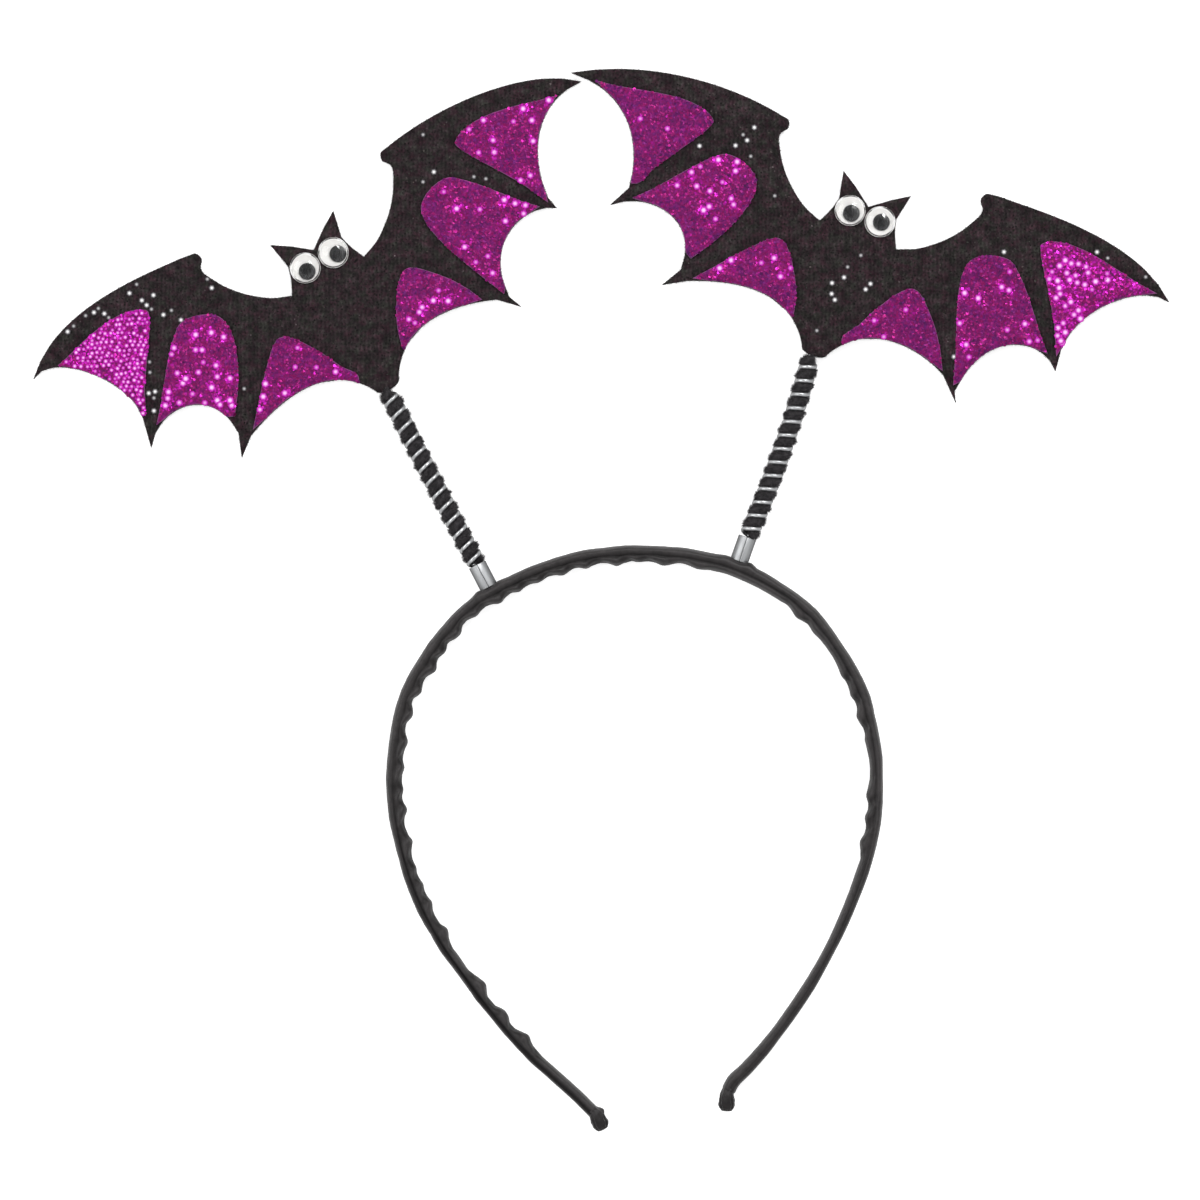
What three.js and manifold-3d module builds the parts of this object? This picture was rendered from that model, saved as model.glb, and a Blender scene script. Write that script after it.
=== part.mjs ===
// Bat headband: a satin-covered hoop carries two coil springs, and each spring carries a felt bat.
// Millimetres. The hoop lies on its back edge, with +X to the right as it is seen from the front,
// +Y from the hoop's open ends towards the bats, and +Z towards the viewer.
import * as THREE from "three";
import { mergeVertices } from "three/addons/utils/BufferGeometryUtils.js";
import Module from "manifold-3d";

const wasm = await Module();
wasm.setup();

// Driving dimensions
const GAP = 0.3; // clearance between pieces that touch
const BAND_DEPTH = 7; // hoop, from its back edge to its front edge
const AXIS_Z = BAND_DEPTH / 2; // height of the springs' axes over the hoop's back edge
const TIP_ROWS = [
  // bulged end of the hoop: distance from the hoop's end, thickness, share of the hoop's depth, share
  // of the tip's turn
  { out: GAP, thick: 2.7, depth: 0.94, turned: 0 },
  { out: 1.3, thick: 3.3, depth: 1, turned: 0.6 },
  { out: 2.8, thick: 3.7, depth: 1, turned: 1 },
  { out: 4.4, thick: 3.2, depth: 0.92, turned: 1 },
  { out: 5.2, thick: 1.9, depth: 0.74, turned: 1 },
];
const TIP_TURN_DEG = { left: -19, right: 22 }; // off the hoop's own direction at that end
const FERRULE = { outer: 2.3, wall: 0.4, length: 6.4, seam: 0.35, sides: 14 };
const WIRE = { radius: 0.4, coil: 2.15, sides: 5, stepsPerTurn: 9 };
const CHENILLE = { radius: 1.15, coil: 1.45, sides: 5, stepsPerTurn: 8 };
const WIRE_FOOT = 2.2; // length of the wire's tail inside the hoop
const WIRE_TAIL = 11; // length of the wire's tail inside the bat
const COIL_START = 5.2; // the wire leaves its axis here, over the hoop
const COIL_END = 1.6; // and is back on its axis here, under the spring's top
const COIL_RAMP = 0.55; // turns that the wire takes to open to its full radius
const CHENILLE_START = 0.72; // turns between the wire's first turn and the cord's lower end
const CHENILLE_END = 0.3; // turns between the cord's upper end and the wire's last turn
const SHEET = 2.4; // felt thickness
const COIL_DIVISIONS = 2000; // for measuring the wire's length
const HOLE_SIDES = 8; // of the hole in the hoop for the wire's foot
const SAME_POINT = 1e-5; // points closer than this are one
const CREASE = 12; // the wings bend back from this distance off the bat's middle
const POCKET = { width: 1.5, height: 1.4, depth: 11.6, mouth: 3 }; // holds the wire's tail
const PANEL = { thick: 0.5, inset: 0.4 }; // glitter panel, and the felt left showing under it
const EYE = { spread: 4, radius: 3.85, base: 0.5, sides: 16 };
const PUPIL = { radius: 2.1, thick: 0.4, play: 0.15 };

// Hoop centreline from its left end over the crown to its right end, with the thickness between
// gathers and the depth of the crease along the front edge.
const HOOP = [
  { x: -2.2, y: -127.8, thick: 2.7, crease: 0 },
  { x: -3.9, y: -126.1, thick: 2.7, crease: 0 },
  { x: -5.4, y: -124.6, thick: 2.8, crease: 0 },
  { x: -19.6, y: -111.4, thick: 2.7, crease: 0 },
  { x: -33, y: -95.2, thick: 2.8, crease: 0 },
  { x: -43, y: -80, thick: 3, crease: 0 },
  { x: -49.7, y: -62.3, thick: 3.1, crease: 0 },
  { x: -51.9, y: -43.3, thick: 3.6, crease: 0 },
  { x: -48.4, y: -23.6, thick: 3.4, crease: 0 },
  { x: -39.1, y: -8.8, thick: 3.9, crease: 0.2 },
  { x: -32.1, y: -1.5, thick: 3.4, crease: 0.2 },
  { x: -23.4, y: 3.6, thick: 3.8, crease: 0.2 },
  { x: -8.1, y: 9.6, thick: 3.6, crease: 0.3 },
  { x: 8.1, y: 11.7, thick: 3.7, crease: 0.6 },
  { x: 25.9, y: 10, thick: 4.1, crease: 0.7 },
  { x: 37.1, y: 6.3, thick: 4, crease: 0.7 },
  { x: 51.5, y: -3.1, thick: 3.9, crease: 0.7 },
  { x: 63.4, y: -20.3, thick: 3.8, crease: 0.5 },
  { x: 67.2, y: -31.4, thick: 3.5, crease: 0.3 },
  { x: 68.7, y: -42.5, thick: 3.3, crease: 0 },
  { x: 68.2, y: -55, thick: 3.5, crease: 0 },
  { x: 65.7, y: -66.4, thick: 3.1, crease: 0 },
  { x: 56.8, y: -87.9, thick: 2.7, crease: 0 },
  { x: 44.2, y: -107.6, thick: 2.7, crease: 0 },
  { x: 35.6, y: -117.8, thick: 3, crease: 0 },
  { x: 32.4, y: -121.2, thick: 3.1, crease: 0 },
  { x: 31.8, y: -122.5, thick: 3, crease: 0 },
];
const CROWN_ROW = 13;

// Gathers of the satin on the hoop's inner edge: distance along the hoop from the crown, with the
// left arm negative, and height.
const GATHERS = [
  { along: -167, rise: 1 },
  { along: -159, rise: 0.7 },
  { along: -149.5, rise: 1 },
  { along: -133, rise: 0.9 },
  { along: -125, rise: 0.8 },
  { along: -120, rise: 0.6 },
  { along: -115, rise: 0.4 },
  { along: -108.5, rise: 0.9 },
  { along: -100, rise: 0.8 },
  { along: -95, rise: 0.5 },
  { along: -89, rise: 0.6 },
  { along: -83, rise: 0.7 },
  { along: -75, rise: 0.7 },
  { along: -68.5, rise: 0.9 },
  { along: -62, rise: 1.1 },
  { along: -57, rise: 0.5 },
  { along: -51, rise: 0.6 },
  { along: -43.5, rise: 0.6 },
  { along: -36.5, rise: 1 },
  { along: -31, rise: 0.6 },
  { along: -25, rise: 0.5 },
  { along: -18.5, rise: 0.8 },
  { along: -12.5, rise: 0.7 },
  { along: -4.5, rise: 0.9 },
  { along: 1, rise: 0.4 },
  { along: 7.5, rise: 0.6 },
  { along: 17, rise: 0.4 },
  { along: 46, rise: 0.6 },
  { along: 51.5, rise: 0.3 },
  { along: 65.5, rise: 0.4 },
  { along: 71, rise: 0.6 },
  { along: 77, rise: 0.8 },
  { along: 83, rise: 0.4 },
  { along: 97.5, rise: 0.7 },
  { along: 103, rise: 0.6 },
  { along: 109.5, rise: 0.8 },
];
const GATHER_HALF = 2.7; // half the length of one gather along the hoop
const GATHER_SIDE = 1.7; // sections stand this far either side of a gather's top
const PLAIN_STEP = 6; // most distance between sections where the satin is smooth
const LEAST_STEP = 1.1; // sections closer than this are one

// Each bopper: where its ferrule stands along the hoop from the crown, the top of its spring, the
// bottom of its bat, the bat's turn, how far up the bat its eyes sit, the spring's pitch, how far under
// the spring's top a strand of wire crosses the front, and how far the spring bows to the right.
const BOPPERS = [
  {
    side: "left",
    foot: -37.2,
    top: [-54.2, 53.5],
    bat: [-53.4, 53.5],
    turnDeg: 28.6,
    eyeRise: 35.7,
    pitch: 3.72,
    strand: 26.2,
    bow: -0.15,
  },
  {
    side: "right",
    foot: 26,
    top: [52.7, 62],
    bat: [53.1, 62],
    turnDeg: -20.6,
    eyeRise: 36.2,
    pitch: 3.57,
    strand: 25.3,
    bow: 1,
  },
];

// Where each wing was cut its own way, in half-bat coordinates (out from the middle, up from the
// bottom): its tip, its claws, the two roots of its inner claw, the ends of its panels, and the
// handles of its leading edge and of its outer scallop.
const WINGS = [
  {
    bat: "left",
    wing: "left",
    tip: [77.1, 44],
    outerClaw: [59.4, 14.8],
    innerClaw: [40.7, 1.7],
    roots: [[38.4, 7.6], [36, 5.5]],
    panels: {
      outer: { from: 0.29, foot: [57.1, 22.6] },
      middle: { to: 0.87, foot: [37.2, 11.6] },
    },
    leading: [[46.9, 54.7], [65.8, 55.2]],
    scallop: [[70.6, 48.7], [55.7, 32.8]],
  },
  {
    bat: "left",
    wing: "right",
    tip: [78.9, 43.8],
    outerClaw: [58.4, 18.9],
    innerClaw: [38.8, 1.4],
    roots: [[37.3, 5.1], [34.2, 6]],
    panels: {
      outer: { from: 0.23, foot: [57.4, 21.3] },
      middle: { to: 0.95, foot: [36.5, 6.2] },
      inner: { from: 0.13, to: 0.83, foot: [7.7, 6.7] },
    },
    leading: [[45, 55.8], [69, 53.4]],
    scallop: [[68, 45], [59, 36]],
  },
  {
    bat: "right",
    wing: "left",
    tip: [81.5, 44.1],
    outerClaw: [60.7, 16.5],
    innerClaw: [41.5, 2.3],
    roots: [[38.4, 7.6], [36, 5.5]],
    panels: {
      outer: { from: 0.17, foot: [56.7, 23.6] },
      middle: { to: 0.88, foot: [37, 10.9] },
      inner: { to: 0.82, foot: [8, 6.9] },
    },
    leading: [[45, 55.8], [65.5, 53.4]],
    scallop: [[68, 45], [59, 36]],
  },
  {
    bat: "right",
    wing: "right",
    tip: [78.9, 43],
    outerClaw: [58.3, 16.8],
    innerClaw: [37.7, 0.6],
    roots: [[36.4, 3.2], [32.3, 6]],
    panels: {
      outer: { from: 0.16, foot: [57.4, 20.4] },
      middle: { to: 0.95, foot: [36, 4.6] },
    },
    leading: [[45, 53.3], [67, 54]],
    scallop: [[71.9, 45.5], [57.8, 34.3]],
  },
];

// Pupils: how far each has slid from the middle of its eye, in the hoop's frame.
const PUPILS = [
  { bat: "left", eye: "left", slideX: 0.5, slideY: -0.85 },
  { bat: "left", eye: "right", slideX: 1.15, slideY: -0.3 },
  { bat: "right", eye: "left", slideX: 0.3, slideY: -0.7 },
  { bat: "right", eye: "right", slideX: 0.3, slideY: -0.15 },
];

// Head of a half bat from the dip between the ears to the notch over the shoulder.
const HEAD = [
  { at: "dip", point: [0, 38.7] },
  { at: "inner ear", point: [4.6, 42.2] },
  { at: "ear tip", point: [9, 45] },
  { at: "outer ear", point: [7.6, 38.2] },
  { at: "cheek", point: [8.3, 35.5] },
  { at: "notch", point: [10.2, 31.2] },
];

// Curved stretches of the wing's edge: two handles and an end. Each starts where the one before it
// ends, or at the wing's own tip, claw or root. What is left out here is the wing's own.
const STRETCH = {
  shoulder: { handles: [[16.5, 32.7], [25.6, 40.4]], end: [27, 48.3], steps: 5 },
  knob: { handles: [[24.6, 50.2], [25.6, 52.9]], end: [28.4, 52.5], steps: 3 },
  leading: { steps: 9 },
  outer: { end: [57.7, 22.2], steps: 8 },
  middle: { handles: [[53.5, 23.2], [38.2, 21.8]], steps: 8 },
  inner: { handles: [[26, 9.5], [11, 13.2]], end: [3.6, 0.9], steps: 8 },
  lobe: { handles: [[3.5, -0.5], [1.9, -1]], end: [0, -1], steps: 3 },
};

// Glitter panels: the stretch of scallop under each, as shares of that curve, and the curves from
// its outer end over the top to its foot. What is left out here is the wing's own, and a wing's own
// value takes the place of one that is given here.
const PANELS = [
  {
    name: "outer",
    to: 0.97,
    curves: [
      { handles: [[64, 45.5], [52, 50]], end: [45, 46.3], steps: 6 },
      { handles: [[43.6, 45.7], [43.2, 44.9]], end: [44.3, 43.2], steps: 2 },
      { handles: [[46, 39.5], [53, 30.5]], steps: 4 },
    ],
  },
  {
    name: "middle",
    from: 0.2,
    curves: [
      { handles: [[49, 27], [43, 36]], end: [38, 38.6], steps: 5 },
      { handles: [[36.5, 39.3], [30.5, 38.2]], end: [28.6, 35.2], steps: 4 },
      { handles: [[26, 30.5], [30.5, 20]], steps: 5 },
    ],
  },
  {
    name: "inner",
    from: 0.05,
    to: 0.9,
    foot: [5.9, 4.9],
    curves: [
      { handles: [[29.5, 13], [24.5, 19]], end: [20, 22.7], steps: 4 },
      { handles: [[18.7, 23.9], [17, 23.7]], end: [15.8, 22.4], steps: 3 },
      { handles: [[12.5, 19.5], [8.5, 12]], steps: 4 },
    ],
  },
];

// Clear dome of an eye over its rim: outer and inner radius and height of each ring
const DOME = [
  { outer: 3.85, outerZ: 0, inner: 3.5, innerZ: 0 },
  { outer: 3.75, outerZ: 0.7, inner: 3.42, innerZ: 0.62 },
  { outer: 3.25, outerZ: 1.4, inner: 2.95, innerZ: 1.14 },
  { outer: 2.1, outerZ: 2, inner: 1.9, innerZ: 1.66 },
  { outer: 0, outerZ: 2.25, inner: 0, innerZ: 1.9 },
];

// Finishes
const finish = (color, roughness, metalness = 0, more = {}) =>
  new THREE.MeshStandardMaterial({ color, roughness, metalness, ...more });
const SATIN = finish(0x2b2a2c, 0.4);
const CAP = finish(0x262526, 0.55);
const STEEL = finish(0xc4c6c8, 0.25, 1);
const FUZZ = finish(0x161517, 0.95);
const FELT = finish(0x2c292b, 0.9);
const GLITTER = finish(0x5a2a5c, 0.5, 0.3);
const EYE_WHITE = finish(0xf2f2f0, 0.4);
const PUPIL_BLACK = finish(0x0b0b0c, 0.3);
const CLEAR = finish(0xffffff, 0.05, 0, { transparent: true, opacity: 0.25 });

const UP = new THREE.Vector3(0, 0, 1);
const point2 = ([x, y]) => new THREE.Vector2(x, y);
const smoothStep = (t) => t * t * (3 - 2 * t);
const named = (name, geometry, material) => {
  const mesh = new THREE.Mesh(geometry, material);
  mesh.name = name;
  return mesh;
};

// A closed solid from rings of points that run round it, one ring for each section.
function loft(rings) {
  const size = rings[0].length;
  const positions = rings.flat().flatMap((p) => [p.x, p.y, p.z]);
  const index = [];
  for (let i = 0; i + 1 < rings.length; i++) {
    for (let k = 0; k < size; k++) {
      const a = i * size + k;
      const b = i * size + ((k + 1) % size);
      index.push(a, b, a + size, b, b + size, a + size);
    }
  }
  const lastRing = (rings.length - 1) * size;
  for (let k = 1; k + 1 < size; k++) {
    index.push(0, k + 1, k);
    index.push(lastRing, lastRing + k, lastRing + k + 1);
  }
  const geometry = new THREE.BufferGeometry();
  geometry.setAttribute("position", new THREE.Float32BufferAttribute(positions, 3));
  geometry.setIndex(index);
  return geometry;
}

// A geometry as a solid that can be cut, and back.
function toSolid(geometry) {
  const bare = geometry.clone();
  bare.deleteAttribute("normal");
  bare.deleteAttribute("uv");
  const merged = mergeVertices(bare, SAME_POINT);
  return new wasm.Manifold(
    new wasm.Mesh({
      numProp: 3,
      vertProperties: new Float32Array(merged.attributes.position.array),
      triVerts: new Uint32Array(merged.index.array),
    }),
  );
}

function toGeometry(solid) {
  const mesh = solid.getMesh();
  const geometry = new THREE.BufferGeometry();
  geometry.setAttribute("position", new THREE.Float32BufferAttribute(mesh.vertProperties, 3));
  geometry.setIndex(new THREE.BufferAttribute(mesh.triVerts, 1));
  return geometry;
}

const cut = (geometry, tool) => toGeometry(toSolid(geometry).subtract(toSolid(tool)));

// Hoop

const hoopPath = new THREE.CatmullRomCurve3(
  HOOP.map(({ x, y }) => new THREE.Vector3(x, y, 0)),
  false,
  "centripetal",
);
const DIVISIONS_PER_ROW = 20;
hoopPath.arcLengthDivisions = (HOOP.length - 1) * DIVISIONS_PER_ROW;
const hoopLength = hoopPath.getLength();
const crownLength = hoopPath.getLengths()[CROWN_ROW * DIVISIONS_PER_ROW];

// Place on the hoop at a distance from the crown: centre, direction along and outwards, and sizes.
function hoopAt(along) {
  const share = THREE.MathUtils.clamp((crownLength + along) / hoopLength, 0, 1);
  const row = hoopPath.getUtoTmapping(share) * (HOOP.length - 1);
  const before = Math.min(Math.floor(row), HOOP.length - 2);
  const between = (column) =>
    THREE.MathUtils.lerp(HOOP[before][column], HOOP[before + 1][column], row - before);
  const forward = hoopPath.getTangentAt(share);
  return {
    centre: hoopPath.getPointAt(share),
    forward,
    outward: new THREE.Vector3(-forward.y, forward.x, 0),
    thick: between("thick"),
    crease: between("crease"),
  };
}

const gatherRise = (along) =>
  GATHERS.reduce((most, gather) => {
    const off = (along - gather.along) / GATHER_HALF;
    return Math.max(most, gather.rise * (1 - off * off));
  }, 0);

// One section of the hoop: shares of the thickness and depth, with the gather on the inner side.
const SECTION = [
  { out: -0.24, up: 0, gathered: 0 },
  { out: 0.24, up: 0, gathered: 0 },
  { out: 0.45, up: 0.13, gathered: 0 },
  { out: 0.5, up: 0.5, gathered: 0 },
  { out: 0.43, up: 0.86, gathered: 0 },
  { out: 0.22, up: 1, gathered: 0 },
  { out: -0.02, up: 1, gathered: 0, creased: true },
  { out: -0.26, up: 1, gathered: 0.25 },
  { out: -0.43, up: 0.84, gathered: 1 },
  { out: -0.5, up: 0.5, gathered: 0.85 },
  { out: -0.45, up: 0.13, gathered: 0.7 },
];

function hoopSection(centre, outward, thick, depth, rise, crease) {
  const low = (BAND_DEPTH - BAND_DEPTH * depth) / 2;
  return SECTION.map(({ out, up, gathered, creased }) => {
    const z = low + up * depth * BAND_DEPTH - (creased ? crease : 0);
    return centre
      .clone()
      .addScaledVector(outward, out * thick - gathered * rise)
      .setZ(z);
  });
}

function hoopStations() {
  const first = -crownLength;
  const last = hoopLength - crownLength;
  const wanted = GATHERS.flatMap(({ along }) => [along - GATHER_SIDE, along, along + GATHER_SIDE]);
  for (let along = first; along < last; along += PLAIN_STEP) wanted.push(along);
  wanted.sort((a, b) => a - b);
  const stations = [first];
  for (const along of wanted) {
    if (along - stations.at(-1) >= LEAST_STEP && last - along >= LEAST_STEP) stations.push(along);
  }
  return [...stations, last];
}

function hoopGeometry() {
  return loft(
    hoopStations().map((along) => {
      const { centre, outward, thick, crease } = hoopAt(along);
      return hoopSection(centre, outward, thick, 1, gatherRise(along), crease);
    }),
  );
}

// The bulged end: the same section carried on past the hoop's end, and turned a little.
function tipGeometry(side, along, direction) {
  const { centre, forward, outward } = hoopAt(along);
  const place = centre.clone();
  let reached = 0;
  const rings = TIP_ROWS.map(({ out, thick, depth, turned }) => {
    const turn = THREE.MathUtils.degToRad(TIP_TURN_DEG[side]) * turned;
    const ahead = forward.clone().applyAxisAngle(UP, turn);
    place.addScaledVector(ahead, direction * (out - reached));
    reached = out;
    return hoopSection(place, outward.clone().applyAxisAngle(UP, turn), thick, depth, 0, 0);
  });
  return loft(direction > 0 ? rings : rings.reverse());
}

// Spring, cord and ferrule, along +Y from the ferrule's foot

// A coil about the Y axis that rises to the right in front, with its radius worked out from its height.
// Its axis bows to the right between the foot and the reach.
class Coil extends THREE.Curve {
  constructor({ low, high, spring, turnOn, radiusAt }) {
    super();
    Object.assign(this, { low, high, spring, turnOn, radiusAt });
    this.arcLengthDivisions = COIL_DIVISIONS;
  }

  getPoint(t, target = new THREE.Vector3()) {
    const { reach, pitch, crossing, bow } = this.spring;
    const y = THREE.MathUtils.lerp(this.low, this.high, t);
    const angle = 2 * Math.PI * ((y - crossing) / pitch - this.turnOn);
    const radius = this.radiusAt(y);
    const share = THREE.MathUtils.clamp((y - COIL_START) / (reach - COIL_START), 0, 1);
    const axisX = 4 * bow * share * (1 - share);
    return target.set(axisX + radius * Math.sin(angle), y, radius * Math.cos(angle));
  }
}

function tube(curve, { radius, sides }, steps) {
  const outline = new THREE.Shape();
  for (let k = 0; k < sides; k++) {
    const angle = (2 * Math.PI * k) / sides;
    const x = radius * Math.cos(angle);
    const y = radius * Math.sin(angle);
    if (k === 0) outline.moveTo(x, y);
    else outline.lineTo(x, y);
  }
  return new THREE.ExtrudeGeometry(outline, { steps, extrudePath: curve });
}

function wireGeometry(spring) {
  const { reach, pitch } = spring;
  const coilEnd = reach - COIL_END;
  const ramp = COIL_RAMP * pitch;
  const radiusAt = (y) => {
    const open = Math.min((y - COIL_START) / ramp, (coilEnd - y) / ramp);
    return WIRE.coil * smoothStep(THREE.MathUtils.clamp(open, 0, 1));
  };
  const low = -GAP - WIRE_FOOT;
  const curve = new Coil({ low, high: reach + WIRE_TAIL, spring, turnOn: 0, radiusAt });
  const steps = Math.round((curve.getLength() / (2 * Math.PI * WIRE.coil)) * WIRE.stepsPerTurn);
  return tube(curve, WIRE, steps);
}

// The cord lies half a turn on from the wire.
function chenilleGeometry(spring) {
  const { reach, pitch } = spring;
  const low = COIL_START + CHENILLE_START * pitch;
  const high = reach - COIL_END - CHENILLE_END * pitch;
  const curve = new Coil({ low, high, spring, turnOn: 0.5, radiusAt: () => CHENILLE.coil });
  const steps = Math.round(((high - low) / pitch) * CHENILLE.stepsPerTurn);
  return tube(curve, CHENILLE, steps);
}

// A rolled sleeve whose seam faces the front.
function ferruleGeometry() {
  const { outer, wall, length, seam, sides } = FERRULE;
  const half = seam / 2 / outer;
  const outline = new THREE.Shape();
  const ring = [];
  for (let k = 0; k <= sides; k++) {
    const angle = THREE.MathUtils.lerp(half, 2 * Math.PI - half, k / sides);
    ring.push(new THREE.Vector2(Math.sin(angle), -Math.cos(angle)));
  }
  const inside = ring.map((p) => p.clone().multiplyScalar(outer - wall)).reverse();
  outline.setFromPoints([...ring.map((p) => p.clone().multiplyScalar(outer)), ...inside]);
  const geometry = new THREE.ExtrudeGeometry(outline, { depth: length, bevelEnabled: false });
  return geometry.rotateX(-Math.PI / 2);
}

// Bat

const stretchCurve = (start, { handles, end }) =>
  new THREE.CubicBezierCurve(point2(start), point2(handles[0]), point2(handles[1]), point2(end));

// The curves of one wing's edge, from the shoulder to the lobe at the bat's bottom.
function wingCurves({ tip, outerClaw, innerClaw, roots, leading, scallop }) {
  const { shoulder, knob, outer, middle, inner, lobe } = STRETCH;
  return {
    shoulder: stretchCurve(HEAD.at(-1).point, shoulder),
    knob: stretchCurve(shoulder.end, knob),
    leading: stretchCurve(knob.end, { handles: leading, end: tip }),
    outer: stretchCurve(tip, { ...outer, handles: scallop }),
    middle: stretchCurve(outerClaw, { ...middle, end: roots[0] }),
    inner: stretchCurve(roots[1], inner),
    lobe: stretchCurve(inner.end, lobe),
    claws: { outer: point2(outerClaw), middle: point2(innerClaw) },
  };
}

// Points of a half bat's outline from the dip between the ears, round the wing, to the bottom.
function halfOutline(wing) {
  const curves = wingCurves(wing);
  const points = HEAD.map(({ point }) => point2(point));
  for (const [name, { steps }] of Object.entries(STRETCH)) {
    const along = curves[name].getPoints(steps);
    const joined = points.at(-1).distanceTo(along[0]) < SAME_POINT;
    points.push(...(joined ? along.slice(1) : along));
    if (curves.claws[name]) points.push(curves.claws[name]);
  }
  return points;
}

const mirrored = (points) => points.map((p) => new THREE.Vector2(-p.x, p.y));
const wingOf = (bat, wing) => WINGS.find((row) => row.bat === bat && row.wing === wing);

// Splits each triangle that crosses the plane x = at, so that a sheet can be creased there.
function splitAcross(geometry, at) {
  const flat = geometry.index ? geometry.toNonIndexed() : geometry;
  const source = flat.getAttribute("position");
  const out = [];
  const push = (...corners) => corners.forEach((p) => out.push(p.x, p.y, p.z));
  const meet = (a, b) => {
    const [from, to] = a.x < b.x ? [a, b] : [b, a];
    return from.clone().lerp(to, (at - from.x) / (to.x - from.x));
  };
  for (let i = 0; i < source.count; i += 3) {
    const corners = [0, 1, 2].map((k) => new THREE.Vector3().fromBufferAttribute(source, i + k));
    const sides = corners.map((p) => (Math.abs(p.x - at) < SAME_POINT ? 0 : Math.sign(p.x - at)));
    if (!sides.includes(1) || !sides.includes(-1)) {
      push(...corners);
      continue;
    }
    const lone = sides.findIndex((s, k) => s !== 0 && !sides.some((o, m) => m !== k && o === s));
    const [a, b, c] = [0, 1, 2].map((k) => corners[(lone + k) % 3]);
    const [sideB, sideC] = [1, 2].map((k) => sides[(lone + k) % 3]);
    const p = sideB === 0 ? b : meet(a, b);
    const q = sideC === 0 ? c : meet(a, c);
    push(a, p, q);
    if (sideB !== 0) push(p, b, c);
    if (sideC !== 0) push(p, c, q);
  }
  const split = new THREE.BufferGeometry();
  split.setAttribute("position", new THREE.Float32BufferAttribute(out, 3));
  return split;
}

// Bends the wings back from the creases, so that the tips' backs come down to the surface.
function bendWings(geometry, bat) {
  const drop = AXIS_Z - SHEET / 2;
  const slopeOf = (wing) => drop / (wingOf(bat, wing).tip[0] - CREASE);
  const slopes = { left: slopeOf("left"), right: slopeOf("right") };
  const bent = splitAcross(splitAcross(geometry, CREASE), -CREASE);
  const position = bent.getAttribute("position");
  for (let i = 0; i < position.count; i++) {
    const x = position.getX(i);
    const past = Math.max(0, Math.abs(x) - CREASE);
    const slope = x < 0 ? slopes.left : slopes.right;
    position.setZ(i, position.getZ(i) - past * slope);
  }
  return bent;
}

function sheetOf(points, thick, z) {
  const shape = new THREE.Shape(points);
  return new THREE.ExtrudeGeometry(shape, { depth: thick, bevelEnabled: false }).translate(0, 0, z);
}

// The felt, with the pocket cut where the bopper's frame lies in the bat's.
function batGeometry(bat, bopperInBat, reach) {
  const right = halfOutline(wingOf(bat, "right"));
  const left = mirrored(halfOutline(wingOf(bat, "left"))).reverse();
  const flat = sheetOf([...right, ...left.slice(1, -1)], SHEET, -SHEET / 2);
  const { width, height, depth, mouth } = POCKET;
  const pocket = new THREE.BoxGeometry(width, mouth + depth, height)
    .translate(0, reach + (depth - mouth) / 2, 0)
    .applyMatrix4(bopperInBat);
  return cut(bendWings(flat, bat), pocket);
}

// A panel: its lower edge keeps just inside the wing's scallop.
function panelGeometry(bat, wing, panel) {
  const own = wingOf(bat, wing);
  const { name, from, to, foot, curves } = { ...panel, ...own.panels[panel.name] };
  const scallop = wingCurves(own)[name];
  const lower = [];
  for (let k = 0; k <= STRETCH[name].steps; k++) {
    const t = THREE.MathUtils.lerp(to, from, k / STRETCH[name].steps);
    const { x, y } = scallop.getTangent(t);
    lower.push(scallop.getPoint(t).add(new THREE.Vector2(y, -x).multiplyScalar(PANEL.inset)));
  }
  const points = [...lower];
  for (const curve of curves) {
    const start = points.at(-1).toArray();
    const end = curve.end ?? foot;
    points.push(...stretchCurve(start, { ...curve, end }).getPoints(curve.steps).slice(1));
  }
  const placed = wing === "left" ? mirrored(points) : points;
  return bendWings(sheetOf(placed, PANEL.thick, SHEET / 2 + GAP), bat);
}

// Wiggle eye, standing on the felt

function domeGeometry() {
  const outside = DOME.map(({ outer, outerZ }) => new THREE.Vector2(outer, outerZ));
  const inside = DOME.map(({ inner, innerZ }) => new THREE.Vector2(inner, innerZ));
  const profile = [...inside.reverse(), ...outside];
  return new THREE.LatheGeometry(profile, EYE.sides).rotateX(Math.PI / 2);
}

const disc = (radius, thick) =>
  new THREE.CylinderGeometry(radius, radius, thick, EYE.sides)
    .rotateX(Math.PI / 2)
    .translate(0, 0, thick / 2);

function eyeGroup(bat, eye, batTurn, rise) {
  const slide = PUPILS.find((row) => row.bat === bat && row.eye === eye);
  const name = (piece) => `${piece}_${bat}_bat_${eye}`;
  const base = named(name("eye_base"), disc(EYE.radius, EYE.base), EYE_WHITE);
  const pupil = named(name("pupil"), disc(PUPIL.radius, PUPIL.thick), PUPIL_BLACK);
  const slid = new THREE.Vector3(slide.slideX, slide.slideY, 0);
  pupil.position.copy(slid.applyAxisAngle(UP, -batTurn));
  pupil.position.z = EYE.base + PUPIL.play;
  const dome = named(name("eye_dome"), domeGeometry(), CLEAR);
  dome.position.z = EYE.base + GAP / 2;
  const group = new THREE.Group().add(base, pupil, dome);
  const side = eye === "left" ? -1 : 1;
  group.position.set(side * EYE.spread, rise, SHEET / 2 + GAP);
  return group;
}

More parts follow.
